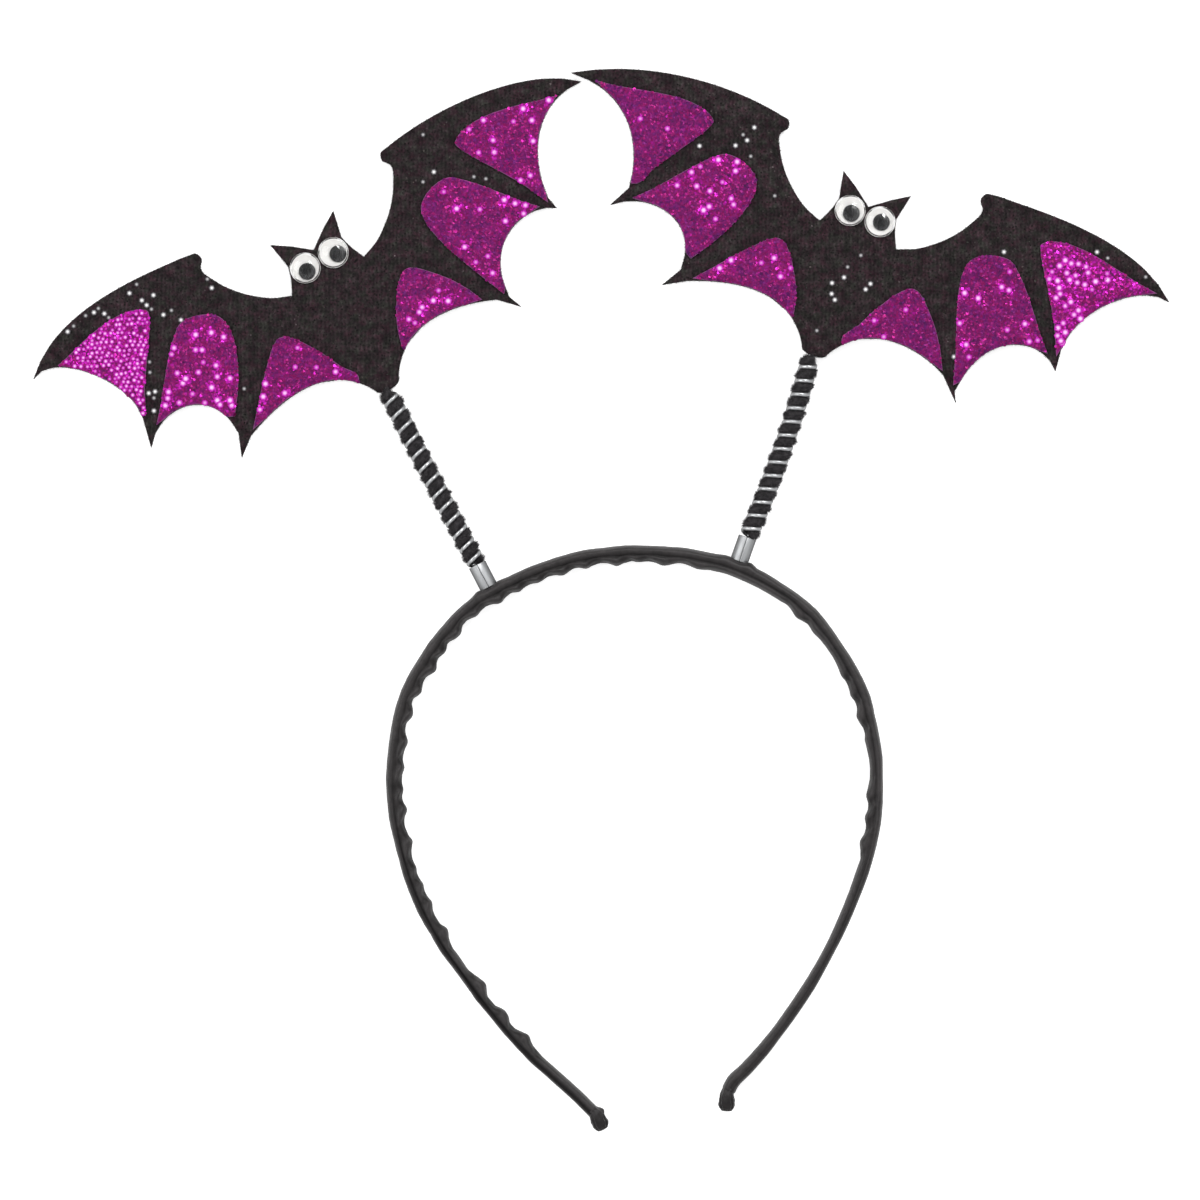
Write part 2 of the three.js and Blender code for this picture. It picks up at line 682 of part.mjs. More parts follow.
// A bat placed in its bopper's frame.
function batGroup(bat, place, turn, batTurn, reach, eyeRise) {
  const group = new THREE.Group();
  group.position.copy(place);
  group.rotation.z = turn;
  group.updateMatrix();
  const bopperInBat = group.matrix.clone().invert();
  group.add(named(`bat_${bat}`, batGeometry(bat, bopperInBat, reach), FELT));
  for (const wing of ["left", "right"]) {
    for (const panel of PANELS) {
      const name = `panel_${bat}_bat_${wing}_${panel.name}`;
      group.add(named(name, panelGeometry(bat, wing, panel), GLITTER));
    }
    group.add(eyeGroup(bat, wing, batTurn, eyeRise));
  }
  return group;
}

// Assembly

// Frame of a bopper: its foot on the hoop's outer face, its lean and its length to the spring's top.
function bopperFrame({ foot, top }) {
  const { centre, outward, thick } = hoopAt(foot);
  const base = centre.clone().addScaledVector(outward, thick / 2 + GAP).setZ(AXIS_Z);
  const axis = point2(top).sub(base);
  return { base, lean: axis.angle() - Math.PI / 2, reach: axis.length() };
}

function bopperGroup(row) {
  const { side, turnDeg, eyeRise, pitch, strand, bow } = row;
  const { base, lean, reach } = bopperFrame(row);
  const spring = { reach, pitch, bow, crossing: reach - strand };
  const batTurn = THREE.MathUtils.degToRad(turnDeg);
  const place = new THREE.Vector3(...row.bat, AXIS_Z).sub(base).applyAxisAngle(UP, -lean);
  const group = new THREE.Group().add(
    named(`ferrule_${side}`, ferruleGeometry(), STEEL),
    named(`spring_${side}`, wireGeometry(spring), STEEL),
    named(`chenille_${side}`, chenilleGeometry(spring), FUZZ),
    batGroup(side, place, batTurn - lean, batTurn, reach, eyeRise),
  );
  group.position.copy(base);
  group.rotation.z = lean;
  return group;
}

// The hoop with a hole in its outer edge for the foot of each wire.
function headbandGeometry() {
  return BOPPERS.reduce((geometry, row) => {
    const { base, lean } = bopperFrame(row);
    const radius = WIRE.radius + GAP;
    const depth = WIRE_FOOT + 2 * GAP;
    const hole = new THREE.CylinderGeometry(radius, radius, 2 * depth, HOLE_SIDES)
      .rotateZ(lean)
      .translate(base.x, base.y, base.z);
    return cut(geometry, hole);
  }, hoopGeometry());
}

const headpiece = new THREE.Group();
headpiece.add(
  named("headband", headbandGeometry(), SATIN),
  named("tip_left", tipGeometry("left", -crownLength, -1), CAP),
  named("tip_right", tipGeometry("right", hoopLength - crownLength, 1), CAP),
  ...BOPPERS.map(bopperGroup),
);

export default headpiece;
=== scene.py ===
# Bat headband: a satin-covered hoop, two coil springs wound with chenille, and two felt bats with
# glitter wing panels and wiggle eyes. Values are in millimetres, and meshes are in metres.
import math

import bmesh
import bpy
import numpy as np
from mathutils.geometry import delaunay_2d_cdt
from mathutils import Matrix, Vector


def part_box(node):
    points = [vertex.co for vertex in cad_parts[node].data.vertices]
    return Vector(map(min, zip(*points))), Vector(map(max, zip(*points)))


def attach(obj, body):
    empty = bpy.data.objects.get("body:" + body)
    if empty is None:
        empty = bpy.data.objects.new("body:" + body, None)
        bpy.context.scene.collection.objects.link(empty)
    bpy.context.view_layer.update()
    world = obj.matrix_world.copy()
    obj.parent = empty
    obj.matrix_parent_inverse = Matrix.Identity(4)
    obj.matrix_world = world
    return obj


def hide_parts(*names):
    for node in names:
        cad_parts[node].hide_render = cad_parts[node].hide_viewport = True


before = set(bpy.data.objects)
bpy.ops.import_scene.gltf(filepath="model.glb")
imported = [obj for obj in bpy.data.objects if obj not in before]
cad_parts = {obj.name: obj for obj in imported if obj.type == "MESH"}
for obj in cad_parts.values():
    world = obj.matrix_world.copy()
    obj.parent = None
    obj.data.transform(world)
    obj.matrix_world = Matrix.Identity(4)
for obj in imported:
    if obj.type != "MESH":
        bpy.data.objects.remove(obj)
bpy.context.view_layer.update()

MM = 0.001
SIDES = ("left", "right")
SEGMENTS = ("outer", "middle", "inner")
HEADPIECE = "headpiece"
TURN = 2 * math.pi

# Sizes shared by the pieces
SAME_POINT = 1e-6  # metres: corners of the frame's solids closer than this are one
FACING = 0.9  # how squarely a face looks up or down to count as front or back
SLICE = 0.05  # corners of the hoop's solid this close to a section belong to it
BAND_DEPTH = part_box("headband")[1].z / MM
AXIS_Z = BAND_DEPTH / 2
SHEET = 2.4  # felt thickness
CREASE = 12  # the wings bend back from this distance off the bat's middle
EYE_RISE = {"left": 35.7, "right": 36.2}  # of the eyes over each bat's bottom
LATHE_STEPS = 48

# Satin band
BAND_STEP = 0.5
BAND_AROUND = 64
SECTION_POWER = 2 / 3  # squareness of the band's section
STRIP_SHARE = 0.48  # width of the flat back edge as a share of the band's thickness
GATHER = {
    "mid": 0.85,  # share of a gather's height that shows half way up the band
    "level": 14,  # the gathers' usual height is their average over this length
    "soft": 2.5,  # and each gather is rounded over this length
    "gain": 2.5,  # how much more the cloth's gathers stand out than the solid's
    "least": -0.25,  # the cloth dips in by this at most between gathers
    "full": 0.35,  # the cloth is fully gathered where the usual height is this
    "slant": 1.6,  # how far a fold between gathers runs along the hoop for each millimetre across
    "pleat": 0.9,  # depth of these folds on the front edge
}
WAVER = {"height": 0.5, "step": 5, "soft": 2, "seed": 6}  # unevenness of the band's outside
CREASES = [
    # crease along the band's front edge: share of the hoop's length, place across as a share of half
    # the thickness, depth, how dark the painted shade makes the band outside it, and how much the
    # cloth adds to the solid's thickness
    (0, 0.15, 0.35, 0.75, 0.3),
    (0.12, 0.12, 0.6, 0.75, 0.26),
    (0.22, 0.1, 0.8, 0.3, 0.3),
    (0.32, -0.1, 0.75, 0, 0.32),
    (0.45, -0.1, 0.95, 0, 0.22),
    (0.62, -0.1, 1, 0, 0.16),
    (0.76, -0.05, 0.8, 0, 0.03),
    (0.86, 0.1, 0.5, 0.3, 0.05),
    (0.97, 0.1, 0.3, 0.35, 0.3),
    (1, 0.1, 0.3, 0.35, 0.45),
]
# Painted shade on the satin: how much its colour is darkened and its sheen taken in each place
PAINTED_SATIN_SHADE = {
    "crease": 0.85,  # how dark the satin is deep in the crease,
    "fold": 0.65,  # in a fold between gathers,
    "gathered": 0.1,  # where it is gathered,
    "turned_in": 0.2,  # and where it turns in
    "width": 0.17,  # of the crease's dark line, as a share of half the thickness
    "fade": 0.3,  # the dark outside starts over this share of it
}
FOLDS = {
    "band": {"Fold Depth": 0.3 * MM, "Fold Length": 2.2 * MM, "Slant": 0.8},
    "end": {"Fold Depth": 0.3 * MM, "Fold Length": 1.6 * MM, "Slant": 0.5},
}
RUFFLES = [
    # satin pushed up beside a ferrule's foot: ferrule, distance along the hoop, height, half length
    ("left", -3.1, 0.7, 1.5),
    ("left", 2.9, 0.35, 1.6),
    ("right", 2.9, 0.95, 1.4),
    ("right", -3.2, 0.4, 1.9),
]
RUFFLE_FADE = 1.6  # a ruffle fades out over this many half lengths
TIP_ROWS = [
    # bulged end of the hoop: distance past the hoop's end, thickness, share of the depth, share of
    # the tip's turn
    (-0.6, 2.95, 0.96, 0),
    (0.3, 3.1, 0.97, 0.1),
    (1.3, 3.3, 1, 0.6),
    (2.8, 3.65, 1, 1),
    (4.1, 3.6, 0.94, 1),
    (4.85, 2.8, 0.8, 1),
    (5.25, 1.6, 0.52, 1),
    (5.35, 0.3, 0.2, 1),
]
TIP = {
    "turn_deg": {"left": -19, "right": 22},
    "step": 0.12,
    "least": 0.05,  # thickness, and share of the depth
    "puckers": 9,
    "pucker": 0.1,  # depth of a pucker as a share of the thickness
    "slant": 0.6,  # of the puckers round the end
    "spur": {"left": 0.8, "right": 0.15},  # height of the satin that stands out on the inside,
    "spur_at": 1.1,  # its distance past the hoop's end
    "spur_length": 0.7,
    # painted shade: the satin's colour is also darkened towards the end, as it loses sheen
    "dull": 0.45,  # how much of its sheen the satin loses towards the end,
    "dulled": 3,  # over this length
    "thread": 0.3,  # the weave's step from point to point round the end
}

# Ferrules and springs
FERRULE = {
    "outer": 2.3,
    "wall": 0.4,
    "length": 6.4,
    "seam": 0.14,
    "lip": 0.16,
    "sunk": 0.35,  # into the satin
    "pinch": 0.025,  # share of the radius that is lost half way up
    "twist": 0.05,  # the seam wanders by this angle
    "twists": 1.7,
}
SPRINGS = {
    # top of the spring, pitch, distance under the top of a strand in front, bow to the right
    "left": {"top": (-54.2, 53.5), "pitch": 3.72, "strand": 26.2, "bow": -0.15},
    "right": {"top": (52.7, 62), "pitch": 3.57, "strand": 25.3, "bow": 1},
}
WIRE = {
    "radius": 0.6,
    "coil": 1.85,
    "foot": 2.5,  # length inside the hoop
    "tail": 11,  # and inside the bat
    "ramp": 0.55,  # turns that the strand takes to open to its full radius
    "turned_on": 0.0,
    "steps": 900,
    "sides": 14,
}
CHENILLE = {"radius": 1.05, "coil": 1.25, "ramp": 0.5, "turned_on": 0.5, "steps": 420, "sides": 12}
COIL_START = 5.2  # the wire leaves its axis here, over the hoop
COIL_END = 1.6  # and is back on its axis here, under the spring's top
CHENILLE_START = 0.46  # turns between the wire's first turn and the cord's lower end
CHENILLE_END = 0.05  # turns between the cord's upper end and the wire's last turn
PILE = {
    "Density": 42 / MM**2,
    "Seed": 11,
    "Fibre Length": 0.75 * MM,
    "Fibre Radius": 0.045 * MM,
    "Lean": 0.45,
    "Clump Size": 0.7 * MM,
    "Most Up": 2.0,
    "Keep Base": True,
}

# Felt and glitter
BEND_SOFT = 2  # the wings' bend is rounded over about this length
RIPPLE = {
    # slight waves of the felt
    "height": 0.12,
    "across": 6.1,
    "shift": 0.7,
    "up": 7.3,
    "full": 20,  # they reach their full height at this distance off the middle
}
FELT_ROUND = 0.4
PANEL = {"proud": 0.8, "sunk": 0.1, "round": 0.25, "near": 0.8, "margin": 0.12}
OUTLINE_STEP = 0.6
EDGE_RINGS = (0.12, 0.45, 1)  # rings of points along a sheet's edge, as shares of its rounding
RING_CLEAR = 0.9  # a ring's point is left out if it is nearer to the edge than this share of its place
GRID_STEP = 1.3
GRID_CLEAR = 0.4  # steps between the last ring and the grid
SAME_GRID_POINT = 1e-5  # points of a sheet closer than this are one
SHARP_TURN_DEG = 70  # an outline that turns harder than this at a corner is sharp there
POINT_TURN_DEG = 100  # and the edges of a point as sharp as this are straight
PANEL_SEEDS = {"first": 30, "step": 10}
PANEL_FLAKES = {
    "Density": 4.0 / MM**2,
    "Flake Size": 0.68 * MM,
    "Tone Range": 0.85,
    "Patch Size": 1.5 * MM,
    "Tone Lift": 0.68,
    "Tilt": 0.3,
    "Lift": 0.07 * MM,
    "Least Up": 0.85,
    "Keep Base": True,
}
FELT_FLAKES = {
    "Density": 1.1 / MM**2,
    "Seed": 3,
    "Flake Size": 0.45 * MM,
    "Tone Range": 1.0,
    "Patch Size": 3 * MM,
    "Tone Lift": 0.0,
    "Tilt": 0.3,
    "Lift": 0.05 * MM,
    "Least Up": 0.5,
    "Keep Base": False,
}
NAP = {
    "Density": 12 / MM**2,
    "Seed": 5,
    "Fibre Length": 0.32 * MM,
    "Fibre Radius": 0.02 * MM,
    "Lean": 0.6,
    "Clump Size": 0.8 * MM,
    "Most Up": 0.6,
    "Keep Base": False,
}
BRIGHT_FLAKES = {"Tilt": 0.06, "Seed": 4}
SPARKLE = {"over": PANEL["proud"] + 0.16, "size": 2.1}  # height over the felt, and full size
FLECK = {"over": 0.12, "size": 1.75}

# Bright flakes charted on each panel, in the hoop's frame, with the dim ones apart.
SPARKLES = {
    ("left", "left", "middle"): {
        "bright": [
            (-101.4, 66.3), (-97.5, 66.8), (-94.4, 65.7), (-106.8, 63), (-101.4, 62.5), (-99.8, 62.5),
            (-96.3, 58.6), (-100.7, 56.9), (-106, 56.7), (-103.9, 55.3), (-104.6, 54.2), (-96, 55.8),
            (-92.8, 55.4), (-97.4, 53.1), (-96, 49.9), (-92.8, 49.9), (-95.3, 48.8), (-92.4, 48.6),
            (-109, 48.6), (-105.5, 49.3), (-108.2, 52), (-108.4, 50.4),
        ],
        "dim": [(-107.4, 61.4), (-99.5, 59.4), (-102.2, 51.5), (-98.9, 48.4)],
    },
    ("left", "left", "inner"): {
        "bright": [(-85.1, 53.7), (-84.5, 50.8), (-79.1, 51.7), (-66.4, 57), (-86.7, 46.4)],
        "dim": [(-75.9, 63), (-76.5, 58.2), (-71.2, 58.1)],
    },
    ("left", "right", "outer"): {
        "bright": [
            (-13, 125.2), (-19.6, 122.8), (-17.4, 119.9), (-29.5, 119.9), (-27.1, 114.9), (-17.1, 114.7),
            (-26.8, 111.9), (-17.8, 106.1), (-20.2, 104.6),
        ],
        "dim": [(-30.7, 111.8), (-33.1, 117.6), (-22, 119.6)],
    },
    ("left", "right", "middle"): {
        "bright": [
            (-36.2, 97.8), (-24.3, 100), (-21.6, 99.1), (-17.9, 99.1), (-18, 96.9), (-24, 94.7),
            (-34.2, 88.2), (-27.2, 81.7),
        ],
        "dim": [(-39.4, 102), (-30.4, 97.6), (-28.4, 85.9), (-31.4, 84.4)],
    },
    ("left", "right", "inner"): {
        "bright": [(-42, 74.8), (-38.3, 74.7), (-44.8, 73.1), (-45.5, 71.9), (-48.1, 70.1)],
        "dim": [(-40.7, 77.3), (-46.6, 69.2)],
    },
    ("right", "left", "outer"): {"bright": [], "dim": [(9.7, 120.3), (16.5, 117.8)]},
    ("right", "left", "middle"): {
        "bright": [
            (29.2, 110), (34.1, 109.7), (33.5, 107.2), (22.5, 106.9), (18.9, 103.6), (23.8, 103.4),
            (27.1, 102.2), (32.4, 100.3), (33, 98.8), (25.5, 97.4), (26.9, 98.3),
        ],
        "dim": [(30.2, 104.4), (24.7, 108.6), (28.5, 95.2)],
    },
    ("right", "left", "inner"): {
        "bright": [(32.1, 85), (29.5, 82.9), (43.1, 85.4), (44.7, 80.8)],
        "dim": [(47.2, 82.9), (39.9, 84.2)],
    },
    ("right", "right", "outer"): {
        "bright": [
            (115.9, 84.9), (114.5, 83.5), (117.4, 84.1), (119.2, 84), (121.1, 83.3), (121.6, 81.8),
            (116.3, 81.7), (118.5, 81.1), (111.9, 80.2), (114, 79.8), (117, 80), (118.9, 79.3),
            (120.8, 78.8), (123.5, 79.6), (126.5, 80), (114.4, 78), (114.6, 76.5), (113.6, 75.5),
            (117.3, 74.5), (115.9, 73.5), (119.2, 72.4), (118.1, 71.3), (119.7, 70.3), (115.4, 69.2),
            (114.1, 68), (115.9, 66.9), (113.5, 65.3), (114.8, 64.8), (113.9, 61.6),
        ],
        "dim": [(126.4, 81.6), (112.6, 82), (122.6, 77.6)],
    },
    ("right", "right", "middle"): {
        "bright": [
            (90.7, 76.7), (94.1, 75.4), (100, 78.2), (101.8, 77.4), (88.6, 69), (105.8, 69), (91.1, 63.8),
            (106.9, 64.6),
        ],
        "dim": [(102, 82), (101.4, 67.5), (91.8, 60.7), (109, 64.9)],
    },
    ("right", "right", "inner"): {"bright": [], "dim": [(68.1, 69.8), (70, 65.4), (76, 72.5)]},
}
# A wing panel with a close lattice of bright flakes all over
LATTICE = {
    "panel": ("left", "left", "outer"),
    "step": 1.25,
    "cells": 60,  # each way from the panel's middle
    "jitter": 0.3,
    "slant_deg": 38,
    "margin": 0.5,
    "kept": 0.86,  # share of the places that have a flake
    "brightness": (0.2, 0.85),
    "seed": 8,
}
CHARTED = {"brightness": (0.65, 1), "dim": 0.5, "seed": 5}  # dim ones are this share as bright
SPARKLE_SIZES = {"lattice": 0.7, "charted": 1}  # shares of a bright flake's full size
SPARKLE_MARGIN = 0.6  # a charted flake nearer than this to its panel's edge is moved in
MOVE_IN = {"step": 0.3, "rounds": 12}
# Painted glow: flakes near a bright one, and two panels all over, are painted lighter
GLOW_REACH = 1.8  # the flakes round a bright one are lit up to about this distance
PANEL_GLOW = {  # panels lit all over
    ("left", "left", "outer"): 0.55,
    ("right", "right", "outer"): 0.5,
}

# Stray bright flecks charted on the black felt, in the hoop's frame, with the dim ones apart.
FLECKS = {
    "left": {
        "bright": [
            (-118, 76.7), (-112, 76.2), (-114.9, 74.9), (-113.7, 73.7), (-109.5, 71.3), (-105.1, 70),
            (-126.9, 71.9), (-124.3, 71.6), (-133.5, 67.1), (-97.4, 78), (-113.2, 51.7), (-111.6, 52.1),
            (-111.9, 47.3), (-41.9, 107),
        ],
        "dim": [
            (-116.2, 78.9), (-112.5, 72.7), (-125.8, 72.9), (-129, 71.1), (-123.2, 70.6), (-132, 68.5),
            (-98.5, 80.2), (-112.9, 56.9), (-111.9, 50.5), (-89.3, 52.8), (-44.6, 116.3), (-44.6, 104.5),
            (-31.9, 105.8), (-28.9, 105.3), (-113, 59.5), (-107.5, 72.4),
        ],
    },
    "right": {
        "bright": [
            (38.2, 118.1), (36.4, 114.9), (33.5, 113.6), (24.5, 113.5), (60.6, 80.6), (57.6, 79.2),
            (57.5, 76.5), (58.3, 75), (67.2, 79), (66, 77.6), (100.6, 87), (123.9, 87), (88.1, 60.8),
        ],
        "dim": [
            (37.3, 110.9), (43.3, 101), (64.8, 86.1), (53.8, 67.3), (126.6, 85.5), (136.1, 80.8),
            (61.5, 83.2), (35.4, 116.3),
        ],
    },
}

# Eyes
EYE = {
    "radius": 3.85,
    "foot": 4.65,
    "top": 5.55,
    "edge": 0.15,  # rounding of the white disc's rim
    "dish": 0.05,  # depth of the disc's middle under its rim
    "gap": 0.03,  # between the disc and the dome
    "dome": 2.3,
    "dome_power": 2.3,
    "dome_steps": 14,
    "wall": 0.35,
}
PUPIL = {"edge": 0.12, "crown": 0.02}

# Stage
FLOOR_HALF = 2500
FLOOR_Z = -0.2
LIGHTS = [
    # name, place and size in metres, and power
    ("key", (0.45, 0.75, 1.3), 0.35, 9),
    ("fill", (-1.1, 0.3, 1.2), 1.2, 8),
]
SKY = [(0.0, 0.4), (0.3, 0.65), (0.55, 1.0), (0.86, 1.0), (0.94, 0.35), (1.0, 0.2)]  # height, shade
SKY_STRENGTH = 0.85
CAMERA = {
    # the photograph's frame, in metres
    "height": 2.0,
    "across": 0.3,
    "x": -0.375 * MM,
    "sensor": 36,
    "clip_end": 10,
}


# Node trees


def rgba(colour):
    """A colour with its alpha, or a socket as it is."""
    return colour if isinstance(colour, bpy.types.NodeSocket) else (*colour, 1)


class Nodes:
    """Adds nodes to a tree and wires them."""

    def __init__(self, tree):
        self.tree = tree

    def feed(self, socket, value):
        if isinstance(value, bpy.types.NodeSocket):
            self.tree.links.new(value, socket)
        else:
            socket.default_value = value

    def add(self, kind, inputs=(), **settings):
        node = self.tree.nodes.new(kind)
        for key, value in settings.items():
            setattr(node, key, value)
        for key, value in dict(inputs).items():
            self.feed(node.inputs[key], value)
        return node

    def math(self, operation, *values):
        return self.add("ShaderNodeMath", enumerate(values), operation=operation).outputs[0]

    def plus(self, one, other):
        return self.math("ADD", one, other)

    def minus(self, one, other):
        return self.math("SUBTRACT", one, other)

    def times(self, one, other):
        return self.math("MULTIPLY", one, other)

    def over(self, one, other):
        return self.math("DIVIDE", one, other)

    def vector(self, operation, *values):
        return self.add("ShaderNodeVectorMath", enumerate(values), operation=operation).outputs[0]

    def length(self, vector):
        return self.add("ShaderNodeVectorMath", {0: vector}, operation="LENGTH").outputs["Value"]

    def scaled(self, vector, factor):
        inputs = {"Vector": vector, "Scale": factor}
        return self.add("ShaderNodeVectorMath", inputs, operation="SCALE").outputs[0]

    def parts(self, vector):
        return self.add("ShaderNodeSeparateXYZ", {"Vector": vector}).outputs

    def joined(self, x, y, z):
        return self.add("ShaderNodeCombineXYZ", {"X": x, "Y": y, "Z": z}).outputs[0]

    def mapped(self, value, low, high, to_low=0.0, to_high=1.0, **settings):
        inputs = {"Value": value, "From Min": low, "From Max": high, "To Min": to_low, "To Max": to_high}
        return self.add("ShaderNodeMapRange", inputs, **settings).outputs[0]

    def between(self, share, low, high):
        return self.mapped(share, 0.0, 1.0, low, high)

    def noise(self, vector, scale, detail=2.0, roughness=0.5):
        inputs = {"Vector": vector, "Scale": scale, "Detail": detail, "Roughness": roughness}
        return self.add("ShaderNodeTexNoise", inputs).outputs[0]

    def mix_colour(self, share, one, other, blend="MIX"):
        inputs = {0: share, 6: rgba(one), 7: rgba(other)}
        return self.add("ShaderNodeMix", inputs, data_type="RGBA", blend_type=blend).outputs[2]

    def ramp(self, value, stops):
        node = self.add("ShaderNodeValToRGB", {"Fac": value})
        elements = node.color_ramp.elements
        while len(elements) < len(stops):
            elements.new(0.5)
        for element, (place, colour) in zip(elements, stops):
            element.position = place
            element.color = rgba(colour)
        return node.outputs["Color"]

    def random(self, low, high, seed):
        return self.add("FunctionNodeRandomValue", {2: low, 3: high, 8: seed}).outputs[1]

    def seeds(self, seed, count):
        return [self.plus(seed, k) for k in range(1, count + 1)]

    def position(self):
        return self.add("GeometryNodeInputPosition").outputs["Position"]

    def normal(self):
        return self.add("GeometryNodeInputNormal").outputs["Normal"]

    def kept(self, name, kind="FLOAT"):
        """A value that was stored on the mesh."""
        node = self.add("GeometryNodeInputNamedAttribute", {"Name": name}, data_type=kind)
        return node.outputs["Attribute"]

    def stored(self, geometry, name, value):
        inputs = {"Geometry": geometry, "Name": name, "Value": value}
        settings = {"data_type": "FLOAT", "domain": "POINT"}
        return self.add("GeometryNodeStoreNamedAttribute", inputs, **settings).outputs["Geometry"]

    def finished(self, geometry, finish):
        """The end of a tree: plain meshes with their finish."""
        real = self.add("GeometryNodeRealizeInstances", {"Geometry": geometry}).outputs["Geometry"]
        inputs = {"Geometry": real, "Material": finish}
        return self.add("GeometryNodeSetMaterial", inputs).outputs["Geometry"]


def new_tree(name, kind, inputs, outputs):
    """An empty tree with named sockets of each type, its nodes, and the sockets to read and to feed."""
    tree = bpy.data.node_groups.new(name, kind)
    for way, sockets in (("INPUT", inputs), ("OUTPUT", outputs)):
        for socket, labels in sockets.items():
            for label in labels:
                tree.interface.new_socket(label, in_out=way, socket_type="NodeSocket" + socket)
    nodes = Nodes(tree)
    given = nodes.add("NodeGroupInput").outputs
    result = nodes.add("NodeGroupOutput").inputs
    return tree, nodes, given, result


def grown(piece, tree, values):
    """Gives a piece the plain mesh that a tree makes of it."""
    modifier = piece.modifiers.new(tree.name, "NODES")
    modifier.node_group = tree
    for item in tree.interface.items_tree:
        if item.in_out == "INPUT" and item.name in values:
            modifier[item.identifier] = values[item.name]
    graph = bpy.context.evaluated_depsgraph_get()
    mesh = bpy.data.meshes.new_from_object(
        piece.evaluated_get(graph), preserve_all_data_layers=True, depsgraph=graph
    )
    piece.modifiers.remove(modifier)
    old = piece.data
    piece.data = mesh
    bpy.data.meshes.remove(old)
    mesh.name = piece.name
    return piece


# Shader groups


def pattern_group(name, size, outputs=("Height",)):
    """An empty shader group for a pattern of a given size."""
    inputs = {"Vector": ["Vector"], "Float": [size]}
    return new_tree(name, "ShaderNodeTree", inputs, {"Float": outputs})


def mottle_group():
    """Soft patches of two sizes."""
    tree, nodes, given, result = pattern_group("mottle", "Scale", ["Patches"])
    coarse = nodes.noise(given["Vector"], given["Scale"], 3.0)
    fine = nodes.noise(given["Vector"], nodes.times(given["Scale"], 4.3), 2.0)
    both = nodes.plus(nodes.times(coarse, 0.6), nodes.times(fine, 0.4))
    nodes.feed(result["Patches"], nodes.mapped(both, 0.35, 0.65))
    return tree


def stitch_group():
    """Wandering ribs with faint loops along them."""
    tree, nodes, given, result = pattern_group("stitch relief", "Stitch")
    wander = nodes.times(nodes.noise(given["Vector"], 420.0, 3.0), 10.0)
    place = nodes.parts(given["Vector"])
    rate = nodes.over(TURN, given["Stitch"])
    across = nodes.plus(nodes.times(place["X"], rate), wander)
    along = nodes.plus(nodes.times(place["Y"], rate), wander)
    rib = nodes.math("SINE", across)
    loop = nodes.math("SINE", nodes.plus(along, nodes.times(rib, 1.2)))
    both = nodes.plus(rib, nodes.times(loop, 0.4))
    nodes.feed(result["Height"], nodes.mapped(both, -1.4, 1.4))
    return tree


def weave_group():
    """Fine threads along and across a satin cloth."""
    tree, nodes, given, result = pattern_group("satin weave", "Thread")
    place = nodes.parts(given["Vector"])
    rate = nodes.over(TURN, given["Thread"])
    warp = nodes.math("SINE", nodes.times(place["Y"], rate))
    slant = nodes.plus(place["X"], nodes.times(place["Y"], 2.0))
    weft = nodes.math("SINE", nodes.times(slant, nodes.times(rate, 0.3)))
    both = nodes.plus(warp, nodes.times(weft, 0.5))
    nodes.feed(result["Height"], nodes.mapped(both, -1.5, 1.5))
    return tree


def smear_group():
    """Smears and fine rub marks on a smooth surface."""
    tree, nodes, given, result = pattern_group("smears", "Scale", ["Smears", "Height"])
    stretched = nodes.vector("MULTIPLY", given["Vector"], (1.0, 0.25, 0.6))
    smears = nodes.noise(stretched, given["Scale"], 4.0, 0.6)
    rub = nodes.noise(stretched, nodes.times(given["Scale"], 6.0), 2.0)
    nodes.feed(result["Smears"], nodes.mapped(smears, 0.3, 0.7))
    nodes.feed(result["Height"], rub)
    return tree


MOTTLE = mottle_group()
STITCHES = stitch_group()
WEAVE = weave_group()
SMEARS = smear_group()


# Finishes


class Finish(Nodes):
    """The nodes of a material, round its shader."""

    def __init__(self, name):
        self.material = bpy.data.materials.new(name)
        self.material.use_nodes = True
        super().__init__(self.material.node_tree)
        self.shader = self.tree.nodes["Principled BSDF"]

    def place(self):
        return self.add("ShaderNodeTexCoord").outputs["Object"]

    def attribute(self, name, output="Fac"):
        return self.add("ShaderNodeAttribute", attribute_name=name).outputs[output]

    def light_path(self, ray):
        return self.add("ShaderNodeLightPath").outputs[ray]

    def group(self, tree, **inputs):
        return self.add("ShaderNodeGroup", inputs, node_tree=tree).outputs

    def bump(self, height, strength, distance):
        inputs = {"Height": height, "Strength": strength, "Distance": distance * MM}
        return self.add("ShaderNodeBump", inputs).outputs["Normal"]

    def made(self, **inputs):
        """The material, with its shader's sockets fed."""
        for name, value in inputs.items():
            self.feed(self.shader.inputs[name.replace("_", " ")], value)
        return self.material


def satin_finish(name, dark, light):
    """Satin with painted shade, darker and duller deep in its folds and creases."""
    nodes = Finish(name)
    cloth = nodes.attribute("cloth", "Vector")
    painted_shade = nodes.attribute("painted_shade")
    patches = nodes.group(MOTTLE, Vector=cloth, Scale=200.0)["Patches"]
    plain = nodes.mix_colour(patches, dark, light)
    # The colour of the painted shade in the folds and creases
    shade_colour = [0.2 * value for value in dark]
    threads = nodes.group(WEAVE, Vector=cloth, Thread=0.3 * MM)["Height"]
    # Painted shade darkens the colour and takes the sheen where the painted_shade value is high
    return nodes.made(
        Base_Color=nodes.mix_colour(painted_shade, plain, shade_colour),
        Specular_IOR_Level=nodes.between(painted_shade, 0.38, 0.05),
        Roughness=nodes.between(patches, 0.42, 0.56),
        Normal=nodes.bump(threads, 0.25, 0.03),
        Sheen_Weight=0.06,
        Sheen_Roughness=0.4,
    )


